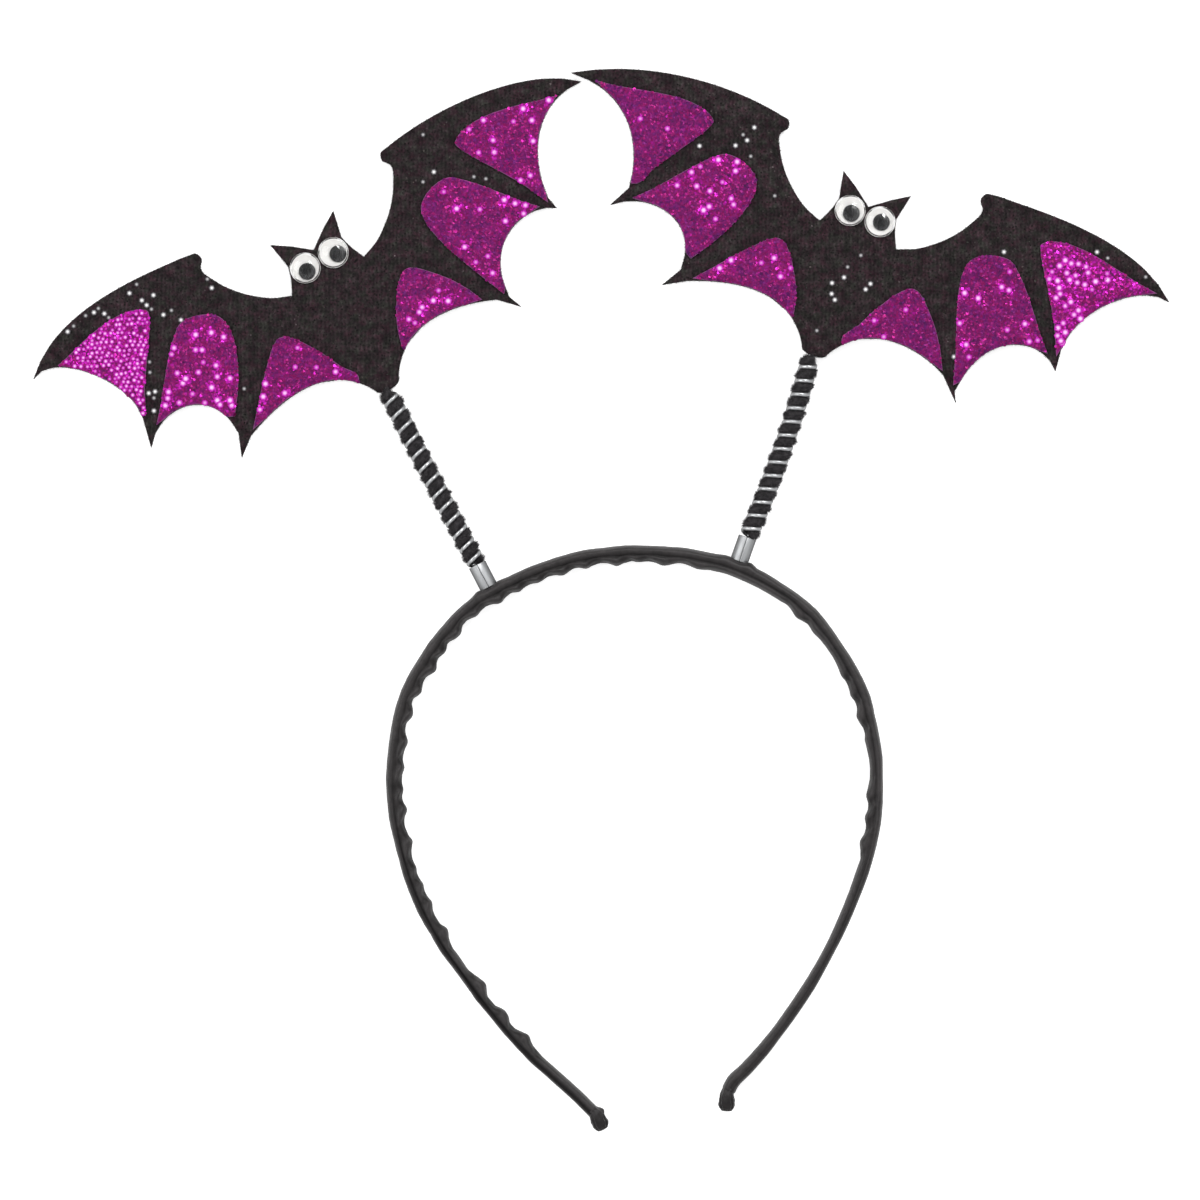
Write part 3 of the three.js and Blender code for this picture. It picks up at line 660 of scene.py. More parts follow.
def felt_finish():
    """Black felt of coarse wandering ribs, in faintly red and green patches."""
    nodes = Finish("black_felt")
    place = nodes.place()
    patches = nodes.group(MOTTLE, Vector=place, Scale=420.0)["Patches"]
    loops = nodes.group(STITCHES, Vector=place, Stitch=1.0 * MM)["Height"]
    stops = [
        (0.0, (0.007, 0.0047, 0.0058)),
        (0.35, (0.0185, 0.0122, 0.0145)),
        (0.6, (0.03, 0.0208, 0.0235)),
        (0.8, (0.043, 0.0315, 0.034)),
        (1.0, (0.067, 0.047, 0.055)),
    ]
    mixed = nodes.plus(nodes.times(patches, 0.7), nodes.times(loops, 0.3))
    tints = [(0.36, (1, 0.66, 0.8)), (0.5, (0.85, 0.85, 0.85)), (0.64, (0.68, 0.95, 0.74))]
    tint = nodes.ramp(nodes.noise(place, 520.0, 3.0), tints)
    return nodes.made(
        Base_Color=nodes.mix_colour(1.0, nodes.ramp(mixed, stops), tint, "MULTIPLY"),
        Roughness=nodes.between(patches, 0.95, 0.75),
        Normal=nodes.bump(loops, 0.3, 0.1),
        Sheen_Weight=0.05,
        Sheen_Roughness=0.6,
        Specular_IOR_Level=0.12,
    )


def glitter_sheet_finish():
    """Purple sheet with a painted highlight along its cut edge."""
    nodes = Finish("purple_glitter_sheet")
    place = nodes.place()
    patches = nodes.group(MOTTLE, Vector=place, Scale=380.0)["Patches"]
    loops = nodes.group(STITCHES, Vector=place, Stitch=1.0 * MM)["Height"]
    stops = [(0.0, (0.05, 0.004, 0.055)), (0.5, (0.16, 0.005, 0.11)), (1.0, (0.26, 0.006, 0.18))]
    # Painted highlight: pale grey-lilac mixed in along the cut edge
    edge = nodes.times(nodes.attribute("edge_highlight"), 0.6)
    return nodes.made(
        Base_Color=nodes.mix_colour(edge, nodes.ramp(patches, stops), (0.3, 0.16, 0.29)),
        Roughness=nodes.between(loops, 0.7, 0.5),
        Normal=nodes.bump(loops, 0.4, 0.1),
        Specular_IOR_Level=0.15,
    )


def flake_finish(name, tones, metallic):
    """Flakes coloured by their own tone."""
    nodes = Finish(name)
    tone = nodes.attribute("flake_tone")
    return nodes.made(
        Base_Color=nodes.ramp(tone, tones),
        Roughness=nodes.between(tone, 0.5, 0.3),
        Metallic=metallic,
        Specular_IOR_Level=0.1,
    )


def bright_flake_finish(name, rim_colour, glint):
    """Flakes with painted glints: pale and glowing in the middle, fading to their rims, and some dim."""
    nodes = Finish(name)
    bright = nodes.attribute("brightness")
    core = nodes.mapped(nodes.attribute("core"), 0.1, 1.0, interpolation_type="SMOOTHSTEP")
    shine = nodes.times(core, nodes.mapped(bright, 0.3, 1.0, 0.35, 1.0))
    colour = nodes.mix_colour(shine, rim_colour, glint)
    # Painted glint: a pale colour in the middle, and emission that makes it glow
    return nodes.made(
        Base_Color=colour,
        Emission_Color=nodes.mix_colour(shine, (0, 0, 0), colour),
        Emission_Strength=0.25,
        Roughness=nodes.between(bright, 0.5, 0.3),
        Specular_IOR_Level=0.1,
    )


def metal_finish(name, colour, dull, edge_shade, smear_scale, rough):
    """Bright metal with smears, and painted shade: darker where it turns away from view."""
    nodes = Finish(name)
    marks = nodes.group(SMEARS, Vector=nodes.place(), Scale=smear_scale)
    smeared = nodes.mix_colour(marks["Smears"], colour, dull)
    # Painted shade: the colour darkens towards edges that turn away from view
    away = nodes.add("ShaderNodeLayerWeight", {"Blend": 0.5}).outputs["Facing"]
    edge = [value * edge_shade for value in colour]
    return nodes.made(
        Base_Color=nodes.mix_colour(nodes.mapped(away, 0.15, 0.6), smeared, edge),
        Roughness=nodes.between(marks["Smears"], rough / 2, rough),
        Normal=nodes.bump(marks["Height"], 0.12, 0.02),
        Metallic=1.0,
    )


def chenille_finish():
    """Black pile whose fibres differ in tone."""
    nodes = Finish("black_chenille")
    patches = nodes.group(MOTTLE, Vector=nodes.place(), Scale=900.0)["Patches"]
    mixed = nodes.times(nodes.plus(nodes.attribute("fibre_tone"), patches), 0.5)
    stops = [
        (0.0, (0.018, 0.0172, 0.018)),
        (0.6, (0.062, 0.057, 0.062)),
        (1.0, (0.15, 0.138, 0.145)),
    ]
    return nodes.made(
        Base_Color=nodes.ramp(mixed, stops),
        Roughness=nodes.between(mixed, 0.95, 0.7),
        Specular_IOR_Level=0.3,
    )


def plastic_finish(name, colour, smear_colour, smear_scale, roughness, specular):
    """Smooth plastic with faint smears."""
    nodes = Finish(name)
    marks = nodes.group(SMEARS, Vector=nodes.place(), Scale=smear_scale)
    return nodes.made(
        Base_Color=nodes.mix_colour(marks["Smears"], colour, smear_colour),
        Roughness=nodes.between(marks["Smears"], *roughness),
        Normal=nodes.bump(marks["Height"], 0.05, 0.02),
        Specular_IOR_Level=specular,
    )


def dome_finish():
    """Clear plastic that lets light through to what it covers."""
    nodes = Finish("clear_dome")
    marks = nodes.group(SMEARS, Vector=nodes.place(), Scale=400.0)
    clear = nodes.add("ShaderNodeBsdfTransparent").outputs["BSDF"]
    shaders = {0: nodes.light_path("Is Shadow Ray"), 1: nodes.shader.outputs["BSDF"], 2: clear}
    surface = nodes.add("ShaderNodeMixShader", shaders).outputs[0]
    nodes.feed(nodes.tree.nodes["Material Output"].inputs["Surface"], surface)
    return nodes.made(
        Base_Color=(1, 1, 1, 1),
        Roughness=nodes.between(marks["Smears"], 0.02, 0.07),
        Transmission_Weight=1.0,
        IOR=1.38,
    )


def floor_finish():
    """Pale floor that looks evenly lit from above."""
    nodes = Finish("pale_floor")
    patches = nodes.group(MOTTLE, Vector=nodes.place(), Scale=3.0)["Patches"]
    pale = nodes.mix_colour(patches, (0.8, 0.8, 0.8), (0.82, 0.82, 0.82))
    return nodes.made(
        Base_Color=pale,
        Emission_Color=pale,
        Emission_Strength=nodes.between(nodes.light_path("Is Camera Ray"), 0.25, 0.85),
        Roughness=0.9,
        Specular_IOR_Level=0.1,
    )


PURPLE_TONES = [
    (0.0, (0.07, 0.01, 0.07)),
    (0.2, (0.125, 0.014, 0.13)),
    (0.45, (0.195, 0.013, 0.115)),
    (0.65, (0.26, 0.012, 0.117)),
    (0.82, (0.36, 0.013, 0.24)),
    (1.0, (0.66, 0.024, 0.54)),
]
BLACK_TONES = [
    (0.0, (0.004, 0.004, 0.004)),
    (0.4, (0.011, 0.0085, 0.009)),
    (0.65, (0.014, 0.015, 0.012)),
    (0.85, (0.03, 0.022, 0.02)),
    (1.0, (0.075, 0.06, 0.065)),
]

SATIN = satin_finish("black_satin", (0.0155, 0.0136, 0.014), (0.041, 0.036, 0.037))
# A darker copy of the satin for the hoop's ends: painted shade
SHADED_SATIN_END = satin_finish("black_satin_end_shaded", (0.012, 0.0105, 0.0108), (0.033, 0.029, 0.03))
FELT = felt_finish()
GLITTER_SHEET = glitter_sheet_finish()
PURPLE_FLAKES = flake_finish("purple_flakes", PURPLE_TONES, 0.6)
BLACK_FLAKES = flake_finish("black_flakes", BLACK_TONES, 0.3)
# Panel sparkles and the felt's stray white flecks, both with painted glints that glow
SPARKLE_FLAKES = bright_flake_finish("sparkle_flakes", (0.5, 0.01, 0.42), (0.98, 0.62, 0.96))
FLECK_FLAKES = bright_flake_finish("fleck_flakes", (0.05, 0.045, 0.05), (0.86, 0.85, 0.86))
FERRULE_METAL = metal_finish(
    "ferrule_metal", (0.52, 0.53, 0.54), (0.47, 0.48, 0.49), edge_shade=0.24, smear_scale=260.0, rough=0.6
)
WIRE_METAL = metal_finish(
    "spring_wire", (0.66, 0.67, 0.68), (0.5, 0.51, 0.52), edge_shade=0.5, smear_scale=400.0, rough=0.5
)
FUZZ = chenille_finish()
EYE_WHITE = plastic_finish(
    "eye_white",
    (0.64, 0.63, 0.61),
    (0.57, 0.56, 0.55),
    smear_scale=500.0,
    roughness=(0.3, 0.45),
    specular=0.5,
)
PUPIL_BLACK = plastic_finish(
    "pupil_black",
    (0.005, 0.005, 0.006),
    (0.012, 0.012, 0.013),
    smear_scale=700.0,
    roughness=(0.18, 0.35),
    specular=0.3,
)
CLEAR = dome_finish()
FLOOR = floor_finish()


# Meshes


def linked(name, data):
    """A new object in the scene."""
    made = bpy.data.objects.new(name, data)
    bpy.context.scene.collection.objects.link(made)
    return made


def mesh_piece(name, points, faces, material, closed=True):
    """A smooth mesh piece from points in millimetres, facing outwards where it is closed."""
    mesh = bpy.data.meshes.new(name)
    mesh.from_pydata((np.asarray(points) * MM).tolist(), [], faces)
    if closed:
        shape = bmesh.new()
        shape.from_mesh(mesh)
        bmesh.ops.recalc_face_normals(shape, faces=shape.faces)
        shape.to_mesh(mesh)
        shape.free()
    mesh.polygons.foreach_set("use_smooth", [True] * len(mesh.polygons))
    mesh.materials.append(material)
    mesh.update()
    return linked(name, mesh)


def keep_values(piece, name, values):
    """Stores a number or a vector for each point of a piece."""
    values = np.asarray(values, np.float32)
    kind, field = ("FLOAT", "value") if values.ndim == 1 else ("FLOAT_VECTOR", "vector")
    layer = piece.data.attributes.new(name, kind, "POINT")
    layer.data.foreach_set(field, values.ravel())


def ring_faces(rows, around):
    """Faces of a closed solid made of rings of points, one after another."""
    faces = []
    for row in range(rows - 1):
        for k in range(around):
            one = row * around + k
            two = row * around + (k + 1) % around
            faces.append((one, two, two + around, one + around))
    faces.append(tuple(range(around)))
    faces.append(tuple(range((rows - 1) * around, rows * around)))
    return faces


def lathe_piece(name, profile, centre, material):
    """A solid of revolution about a vertical axis. The profile runs from the axis round to the axis."""
    angles = TURN * np.arange(LATHE_STEPS) / LATHE_STEPS
    points = []
    starts = []
    for radius, z in profile:
        starts.append(len(points))
        spokes = [(0, 0)] if radius == 0 else zip(radius * np.cos(angles), radius * np.sin(angles))
        points.extend((centre[0] + x, centre[1] + y, z) for x, y in spokes)
    starts.append(len(points))
    faces = []
    for row in range(len(profile) - 1):
        lower = range(starts[row], starts[row + 1])
        upper = range(starts[row + 1], starts[row + 2])
        for k in range(LATHE_STEPS):
            corners = [lower[k % len(lower)], lower[(k + 1) % len(lower)]]
            corners += [upper[(k + 1) % len(upper)], upper[k % len(upper)]]
            faces.append(tuple(dict.fromkeys(corners)))
    return mesh_piece(name, points, faces, material)


def curved(t, span, start, start_way, end, end_way):
    """Points at shares of smooth curves, each given by its span, its two ends and its ways there."""
    leaving = (1 + 2 * t) * (1 - t) ** 2 * start + t * (1 - t) ** 2 * span * start_way
    arriving = t**2 * (3 - 2 * t) * end + t**2 * (t - 1) * span * end_way
    return leaving + arriving


def through(knots, rows, at):
    """Values read from a smooth curve through the rows at the knots."""
    slopes = np.gradient(rows, knots, axis=0)
    cell = np.clip(np.searchsorted(knots, at, side="right") - 1, 0, len(knots) - 2)
    span = (knots[cell + 1] - knots[cell])[:, None]
    t = (at - knots[cell])[:, None] / span
    return curved(t, span, rows[cell], slopes[cell], rows[cell + 1], slopes[cell + 1])


def smooth_step(t):
    t = np.clip(t, 0, 1)
    return t * t * (3 - 2 * t)


def dress(piece, nodes, body=HEADPIECE):
    """Puts a finished piece on its body, in the place of the frame's nodes."""
    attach(piece, body)
    if nodes:
        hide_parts(*nodes)
    return piece


# Reading the frame


def corners_of(node):
    return np.array([vertex.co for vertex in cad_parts[node].data.vertices]) / MM


def middle_of(node):
    low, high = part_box(node)
    return np.array(low + high) / 2 / MM


def rim(node, facing):
    """The longest outline of a node's faces that look up (1) or down (-1), in millimetres."""
    shape = bmesh.new()
    shape.from_mesh(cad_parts[node].data)
    bmesh.ops.remove_doubles(shape, verts=shape.verts, dist=SAME_POINT)
    shape.normal_update()

    def looks(face):
        return face.normal.z * facing > FACING

    follows = {}
    for face in filter(looks, shape.faces):
        for corner in face.loops:
            if sum(looks(other) for other in corner.edge.link_faces) == 1:
                follows[corner.vert] = corner.link_loop_next.vert
    loops = []
    while follows:
        vertex = next(iter(follows))
        loop = []
        while vertex in follows:
            loop.append(np.array(vertex.co) / MM)
            vertex = follows.pop(vertex)
        loops.append(np.array(loop))
    shape.free()
    return max(loops, key=len)


def hoop_rows():
    """Rows along the hoop from its left end: centre, way outwards, thickness and height of a gather."""
    ring = rim("headband", -1)[:, :2]
    count = len(ring)
    index = np.arange(count)

    def reach_across(shift):
        return np.linalg.norm(ring - ring[(shift - index) % count], axis=1).sum()

    shift = min(range(1, count, 2), key=reach_across)
    first = (shift + 1) // 2 + np.arange(count // 2)
    one = ring[first % count]
    other = ring[(shift - first) % count]
    if one[0, 0] > one[-1, 0]:
        one = one[::-1]
        other = other[::-1]
    centre = (one + other) / 2
    ahead = np.gradient(centre, axis=0)
    width = np.linalg.norm(other - one, axis=1)[:, None]
    outward = (other - one) / width
    turned_out = np.sign(ahead[:, 0] * outward[:, 1] - ahead[:, 1] * outward[:, 0])
    outward *= turned_out[:, None]
    thick = width[:, 0] / STRIP_SHARE
    corners = corners_of("headband")
    corners = corners[np.abs(corners[:, 2] - AXIS_Z) < SLICE, :2]
    rises = []
    for here, away, size in zip(centre, outward, thick):
        out = (corners - here) @ away
        along = (corners - here) @ np.array([away[1], -away[0]])
        near = (np.abs(along) < SLICE) & (np.abs(out) < 2 * size)
        rises.append(max(0, -out[near].min() - size / 2) / GATHER["mid"])
    return np.column_stack([centre, outward, thick, rises])


def bopper_frame(side):
    """Foot of a ferrule on the hoop, the way its axis runs, and the spring's reach from there."""
    corners = corners_of(f"ferrule_{side}")[:, :2]
    middle = corners.mean(axis=0)
    _, _, ways = np.linalg.svd(corners - middle)
    axis = ways[0] * np.sign(ways[0][1])
    foot = middle - axis * FERRULE["length"] / 2
    reach = np.linalg.norm(np.array(SPRINGS[side]["top"]) - foot)
    return foot, axis, reach


# Satin band


def band_rows():
    """Fine rows along the hoop, with the distance along it."""
    rows = hoop_rows()
    steps = np.linalg.norm(np.diff(rows[:, :2], axis=0), axis=1)
    knots = np.concatenate([[0], np.cumsum(steps)])
    at = np.linspace(0, knots[-1], round(knots[-1] / BAND_STEP) + 1)
    fine = through(knots, rows, at)
    fine[:, 2:4] /= np.linalg.norm(fine[:, 2:4], axis=1)[:, None]
    fine[:, 5:] = np.maximum(fine[:, 5:], 0)
    return at, fine


def softened(values, width):
    """Values averaged over a length of the band."""
    size = 2 * round(width / BAND_STEP / 2) + 1
    weights = np.hanning(size + 2)[1:-1]
    padded = np.pad(values, size // 2, mode="edge")
    return np.convolve(padded, weights / weights.sum(), mode="valid")


def section():
    """Angles round one section of the band, and the shares of thickness and depth there."""
    angle = TURN * (np.arange(BAND_AROUND) + 0.5) / BAND_AROUND
    out = np.sign(np.cos(angle)) * np.abs(np.cos(angle)) ** SECTION_POWER / 2
    up = (1 + np.sign(np.sin(angle)) * np.abs(np.sin(angle)) ** SECTION_POWER) / 2
    return angle, out, up


def ruffle_heights(at, centre):
    """Heights of the satin pushed up beside the ferrules' feet, along the hoop."""
    heights = np.zeros(len(at))
    for side, beside, height, half in RUFFLES:
        foot, _, _ = bopper_frame(side)
        place = at[np.linalg.norm(centre - foot, axis=1).argmin()] + beside
        heights = np.maximum(heights, height * smooth_step(1 - np.abs(at - place) / half / RUFFLE_FADE))
    return heights


def waver_heights(at):
    """Slight unevenness of the band's outside, along the hoop."""
    knots = np.arange(0, at[-1] + WAVER["step"], WAVER["step"])
    heights = WAVER["height"] * np.random.default_rng(WAVER["seed"]).uniform(-0.5, 0.5, len(knots))
    return softened(np.interp(at, knots, heights), WAVER["soft"])


def shape_tree(name, taken, made, **inputs):
    """An empty geometry tree that takes one mesh and a finish, and makes another mesh."""
    inputs = {"Geometry": [taken], **inputs, "Material": ["Finish"]}
    return new_tree(name, "GeometryNodeTree", inputs, {"Geometry": [made]})


def satin_folds_tree():
    """Small slanting folds pressed into the satin where it is gathered."""
    sizes = ["Fold Depth", "Fold Length", "Slant"]
    tree, nodes, given, result = shape_tree("satin folds", "Cover", "Folded Cover", Float=sizes)
    place = nodes.parts(nodes.kept("cloth", "FLOAT_VECTOR"))
    along = nodes.plus(place["X"], nodes.times(place["Y"], given["Slant"]))
    across = nodes.times(place["Y"], 0.35)
    spot = nodes.scaled(nodes.joined(along, across, 0.0), nodes.over(1.0, given["Fold Length"]))
    folds = nodes.minus(nodes.noise(spot, 1.0, 1.0), 0.5)
    depth = nodes.times(given["Fold Depth"], nodes.kept("gathered"))
    push = nodes.times(nodes.times(folds, 2.0), depth)
    inputs = {"Geometry": given["Cover"], "Offset": nodes.scaled(nodes.normal(), push)}
    moved = nodes.add("GeometryNodeSetPosition", inputs).outputs["Geometry"]
    nodes.feed(result["Folded Cover"], nodes.finished(moved, given["Finish"]))
    return tree


def satin_band(at, fine, folds):
    """The satin tube: a smooth roll along its outside, and a gathered one along its inside."""
    centre = fine[:, :2]
    outward = fine[:, 2:4]
    level = softened(fine[:, 5], GATHER["level"])
    rise = level + GATHER["gain"] * (softened(fine[:, 5], GATHER["soft"]) - level)
    rise = np.maximum(rise, GATHER["least"])
    gathered = np.clip(level / GATHER["full"], 0, 1)
    _, out_share, up_share = section()
    inner = np.clip(-2 * out_share, 0, 1)
    outer = np.clip(2 * out_share, 0, 1)
    front = smooth_step((up_share - 0.5) * 2)
    table = np.array(CREASES, float)
    columns = [np.interp(at / at[-1], table[:, 0], column)[:, None] for column in table.T[1:]]
    crease_at, crease_depth, outside_shade, fullness = columns
    thick = fine[:, 4:5] + fullness
    across = 2 * np.broadcast_to(out_share, (len(at), BAND_AROUND))

    # Folds run back from the low places between gathers, and end at the crease.
    low = smooth_step((1.2 * level - rise) / (0.6 * level + 0.1)) * gathered
    fold = np.interp(at[:, None] + GATHER["slant"] * (1 + across) * thick / 2, at, low)
    on_inner = np.clip((crease_at - across) / (1 + crease_at), 0, 1)
    fold = fold * on_inner**0.7

    # Two rolls meet in the crease.
    half = np.where(across > crease_at, 1 - crease_at, 1 + crease_at) / 2
    roll = np.abs(across - np.where(across > crease_at, crease_at + half, crease_at - half)) / half
    out = thick * out_share - rise[:, None] * inner**0.8 * (0.7 + 0.3 * up_share)
    pushed = ruffle_heights(at, centre) + waver_heights(at)
    out = out + pushed[:, None] * outer * (0.5 + 0.5 * front)
    z = BAND_DEPTH * np.broadcast_to(up_share, out.shape)
    z = z - (crease_depth * np.minimum(roll, 1) ** 2.5 + GATHER["pleat"] * fold) * front
    xy = centre[:, None, :] + outward[:, None, :] * out[:, :, None]
    points = np.concatenate([xy, z[:, :, None]], axis=2).reshape(-1, 3)
    piece = mesh_piece("satin_band", points, ring_faces(len(at), BAND_AROUND), SATIN)

    # Values that the folds and the finish read
    around = 2 * (thick + BAND_DEPTH) * np.arange(BAND_AROUND) / BAND_AROUND
    cloth = np.stack([np.broadcast_to(at[:, None], out.shape), around, np.zeros(out.shape)], axis=2)
    keep_values(piece, "cloth", cloth.reshape(-1, 3) * MM)
    loose = (0.25 + 0.75 * gathered)[:, None] * (0.45 + 0.55 * inner)
    keep_values(piece, "gathered", loose.ravel())
    # Painted shade: dark in the crease and the folds, outside the crease, where gathered and where it
    # turns in
    line = crease_depth * np.exp(-(((across - crease_at) / PAINTED_SATIN_SHADE["width"]) ** 2)) * front
    outside = outside_shade * smooth_step((across - crease_at) / PAINTED_SATIN_SHADE["fade"] + 0.5)
    inside = PAINTED_SATIN_SHADE["gathered"] * gathered[:, None] * smooth_step(2 * on_inner)
    turned_in = PAINTED_SATIN_SHADE["turned_in"] * smooth_step((-across - 0.6) / 0.4)
    painted_shade = PAINTED_SATIN_SHADE["crease"] * line + PAINTED_SATIN_SHADE["fold"] * fold * front + outside + inside + turned_in
    keep_values(piece, "painted_shade", np.clip(painted_shade, 0, 1).ravel())
    return dress(grown(piece, folds, {**FOLDS["band"], "Finish": SATIN}), ["headband"])


def finer_to_end(t):
    """Steps that grow finer towards the end."""
    return 1 - (1 - t) ** 1.6


def satin_end(side, fine, folds):
    """The bulged end of the hoop, with its satin drawn in by puckers."""
    end, before = (fine[0], fine[1]) if side == "left" else (fine[-1], fine[-2])
    forward = (end[:2] - before[:2]) / np.linalg.norm(end[:2] - before[:2])
    rows = np.array(TIP_ROWS, float)
    first, last = rows[[0, -1], 0]
    count = round((last - first) / TIP["step"])
    at = first + (last - first) * finer_to_end(np.linspace(0, 1, count))
    angle, out_share, up_share = section()
    inside = np.clip(-2 * out_share, 0, 1) ** 2
    place = end[:2] + forward * first
    reached = first
    points = []
    for distance, thick, depth, turned in through(rows[:, 0], rows, at):
        turn = math.radians(TIP["turn_deg"][side]) * turned
        spin = np.array([[math.cos(turn), -math.sin(turn)], [math.sin(turn), math.cos(turn)]])
        place = place + spin @ forward * (distance - reached)
        reached = distance
        out_way = spin @ end[2:4]
        waves = np.sin(TIP["puckers"] * angle + TIP["slant"] * distance)
        drawn = TIP["pucker"] * smooth_step(distance / 2) * waves
        spur = TIP["spur"][side] * math.exp(-(((distance - TIP["spur_at"]) / TIP["spur_length"]) ** 2))
        out = np.maximum(thick, TIP["least"]) * out_share * (1 + drawn) - spur * inside
        z = AXIS_Z + (up_share - 0.5) * BAND_DEPTH * np.clip(depth, TIP["least"], 1) * (1 + drawn / 3)
        points.extend((*(place + out_way * o), max(0, h)) for o, h in zip(out, z))
    name = f"satin_end_{side}"
    piece = mesh_piece(name, points, ring_faces(len(at), BAND_AROUND), SHADED_SATIN_END)
    cloth = [(x, k * TIP["thread"], 0) for x in at for k in range(BAND_AROUND)]
    keep_values(piece, "cloth", np.array(cloth) * MM)
    keep_values(piece, "gathered", np.ones(len(cloth)))
    # Painted shade that deepens towards the end, with less sheen there
    dulled = TIP["dull"] * smooth_step((at - first) / TIP["dulled"])
    keep_values(piece, "painted_shade", np.repeat(dulled, BAND_AROUND))
    return dress(grown(piece, folds, {**FOLDS["end"], "Finish": SHADED_SATIN_END}), [f"tip_{side}"])


# Ferrules


def ferrule_piece(side):
    """A rolled sleeve with rounded lips, whose seam faces the front."""
    foot, axis, _ = bopper_frame(side)
    length = FERRULE["length"]
    lip = FERRULE["lip"]
    outside = FERRULE["outer"] - lip
    inside = FERRULE["outer"] - FERRULE["wall"] + lip
    arc = np.linspace(0, math.pi / 2, 4)
    corners = [(outside, lip, -1), (outside, length - lip, 0), (inside, length - lip, 1), (inside, lip, 2)]
    profile = []
    for radius, along, quarter in corners:
        turn = quarter * math.pi / 2 + arc
        profile.extend(zip(radius + lip * np.cos(turn), along + lip * np.sin(turn)))
    half = FERRULE["seam"] / 2 / FERRULE["outer"]
    angles = np.linspace(half, TURN - half, 2 * LATHE_STEPS)
    across = np.array([axis[1], -axis[0]])
    points = []
    for angle in angles:
        for radius, along in profile:
            pinched = radius * (1 - FERRULE["pinch"] * math.sin(along / length * math.pi) ** 2)
            side_way = pinched * math.sin(angle + FERRULE["twist"] * math.sin(along * FERRULE["twists"]))
            xy = foot + axis * (along - FERRULE["sunk"]) + across * side_way
            points.append((*xy, AXIS_Z + pinched * math.cos(angle)))
    name = f"ferrule_sleeve_{side}"
    piece = mesh_piece(name, points, ring_faces(len(angles), len(profile)), FERRULE_METAL)
    return dress(piece, [f"ferrule_{side}"])


# Springs and chenille


def coil_tree():
    """A strand that coils about an axis, open to its full radius between its start and its end."""
    sizes = ["Low", "High", "Start", "End", "Ramp", "Bow Start", "Reach", "Crossing", "Pitch"]
    sizes += ["Turned On", "Coil Radius", "Bow", "Strand Radius", "Lean"]
    counts = ["Steps", "Sides"]
    tree, nodes, given, result = shape_tree(
        "coiled strand", "Empty", "Strand", Float=sizes, Int=counts, Vector=["Foot"]
    )
    ends = {
        "Count": given["Steps"],
        "Start Location": nodes.joined(0.0, given["Low"], 0.0),
        "Offset": nodes.joined(0.0, given["High"], 0.0),
    }
    line = nodes.add("GeometryNodeMeshLine", ends, mode="END_POINTS").outputs["Mesh"]
    y = nodes.parts(nodes.position())["Y"]
    turns = nodes.over(nodes.minus(y, given["Crossing"]), given["Pitch"])
    angle = nodes.times(nodes.minus(turns, given["Turned On"]), TURN)
    nearer = nodes.math("MINIMUM", nodes.minus(y, given["Start"]), nodes.minus(given["End"], y))
    open_share = nodes.mapped(nearer, 0.0, given["Ramp"], interpolation_type="SMOOTHSTEP")
    radius = nodes.times(given["Coil Radius"], open_share)
    share = nodes.mapped(y, given["Bow Start"], given["Reach"])
    bulge = nodes.times(share, nodes.minus(1.0, share))
    axis_x = nodes.times(nodes.times(bulge, 4.0), given["Bow"])
    x = nodes.plus(axis_x, nodes.times(radius, nodes.math("SINE", angle)))
    z = nodes.times(radius, nodes.math("COSINE", angle))
    spin = {"Vector": nodes.joined(x, y, z), "Angle": given["Lean"]}
    leant = nodes.add("ShaderNodeVectorRotate", spin, rotation_type="Z_AXIS").outputs["Vector"]
    inputs = {"Geometry": line, "Position": nodes.vector("ADD", leant, given["Foot"])}
    coiled = nodes.add("GeometryNodeSetPosition", inputs).outputs["Geometry"]
    path = nodes.add("GeometryNodeMeshToCurve", {"Mesh": coiled}).outputs["Curve"]
    ring_sizes = {"Resolution": given["Sides"], "Radius": given["Strand Radius"]}
    ring = nodes.add("GeometryNodeCurvePrimitiveCircle", ring_sizes).outputs["Curve"]
    sweep = {"Curve": path, "Profile Curve": ring, "Fill Caps": True}
    strand = nodes.add("GeometryNodeCurveToMesh", sweep).outputs["Mesh"]
    smooth = nodes.add("GeometryNodeSetShadeSmooth", {"Geometry": strand}).outputs["Geometry"]
    nodes.feed(result["Strand"], nodes.finished(smooth, given["Finish"]))
    return tree


def scatter_points(nodes, given, selection):
    """Points strewn over the picked faces of the given mesh."""
    inputs = {"Mesh": given[0], "Selection": selection, "Density": given["Density"], "Seed": given["Seed"]}
    return nodes.add("GeometryNodeDistributePointsOnFaces", inputs).outputs


def face_height(nodes):
    """How squarely each face looks up."""
    return nodes.parts(nodes.normal())["Z"]


def end_scatter(nodes, given, result, instances):
    """Ends a scattering tree: plain meshes with their finish, beside the given mesh if it is kept."""
    choice = {"Switch": given["Keep Base"], "True": given[0]}
    base = nodes.add("GeometryNodeSwitch", choice, input_type="GEOMETRY").outputs["Output"]
    both = nodes.add("GeometryNodeJoinGeometry", {"Geometry": base})
    nodes.feed(both.inputs["Geometry"], nodes.finished(instances, given["Finish"]))
    nodes.feed(result[0], both.outputs["Geometry"])


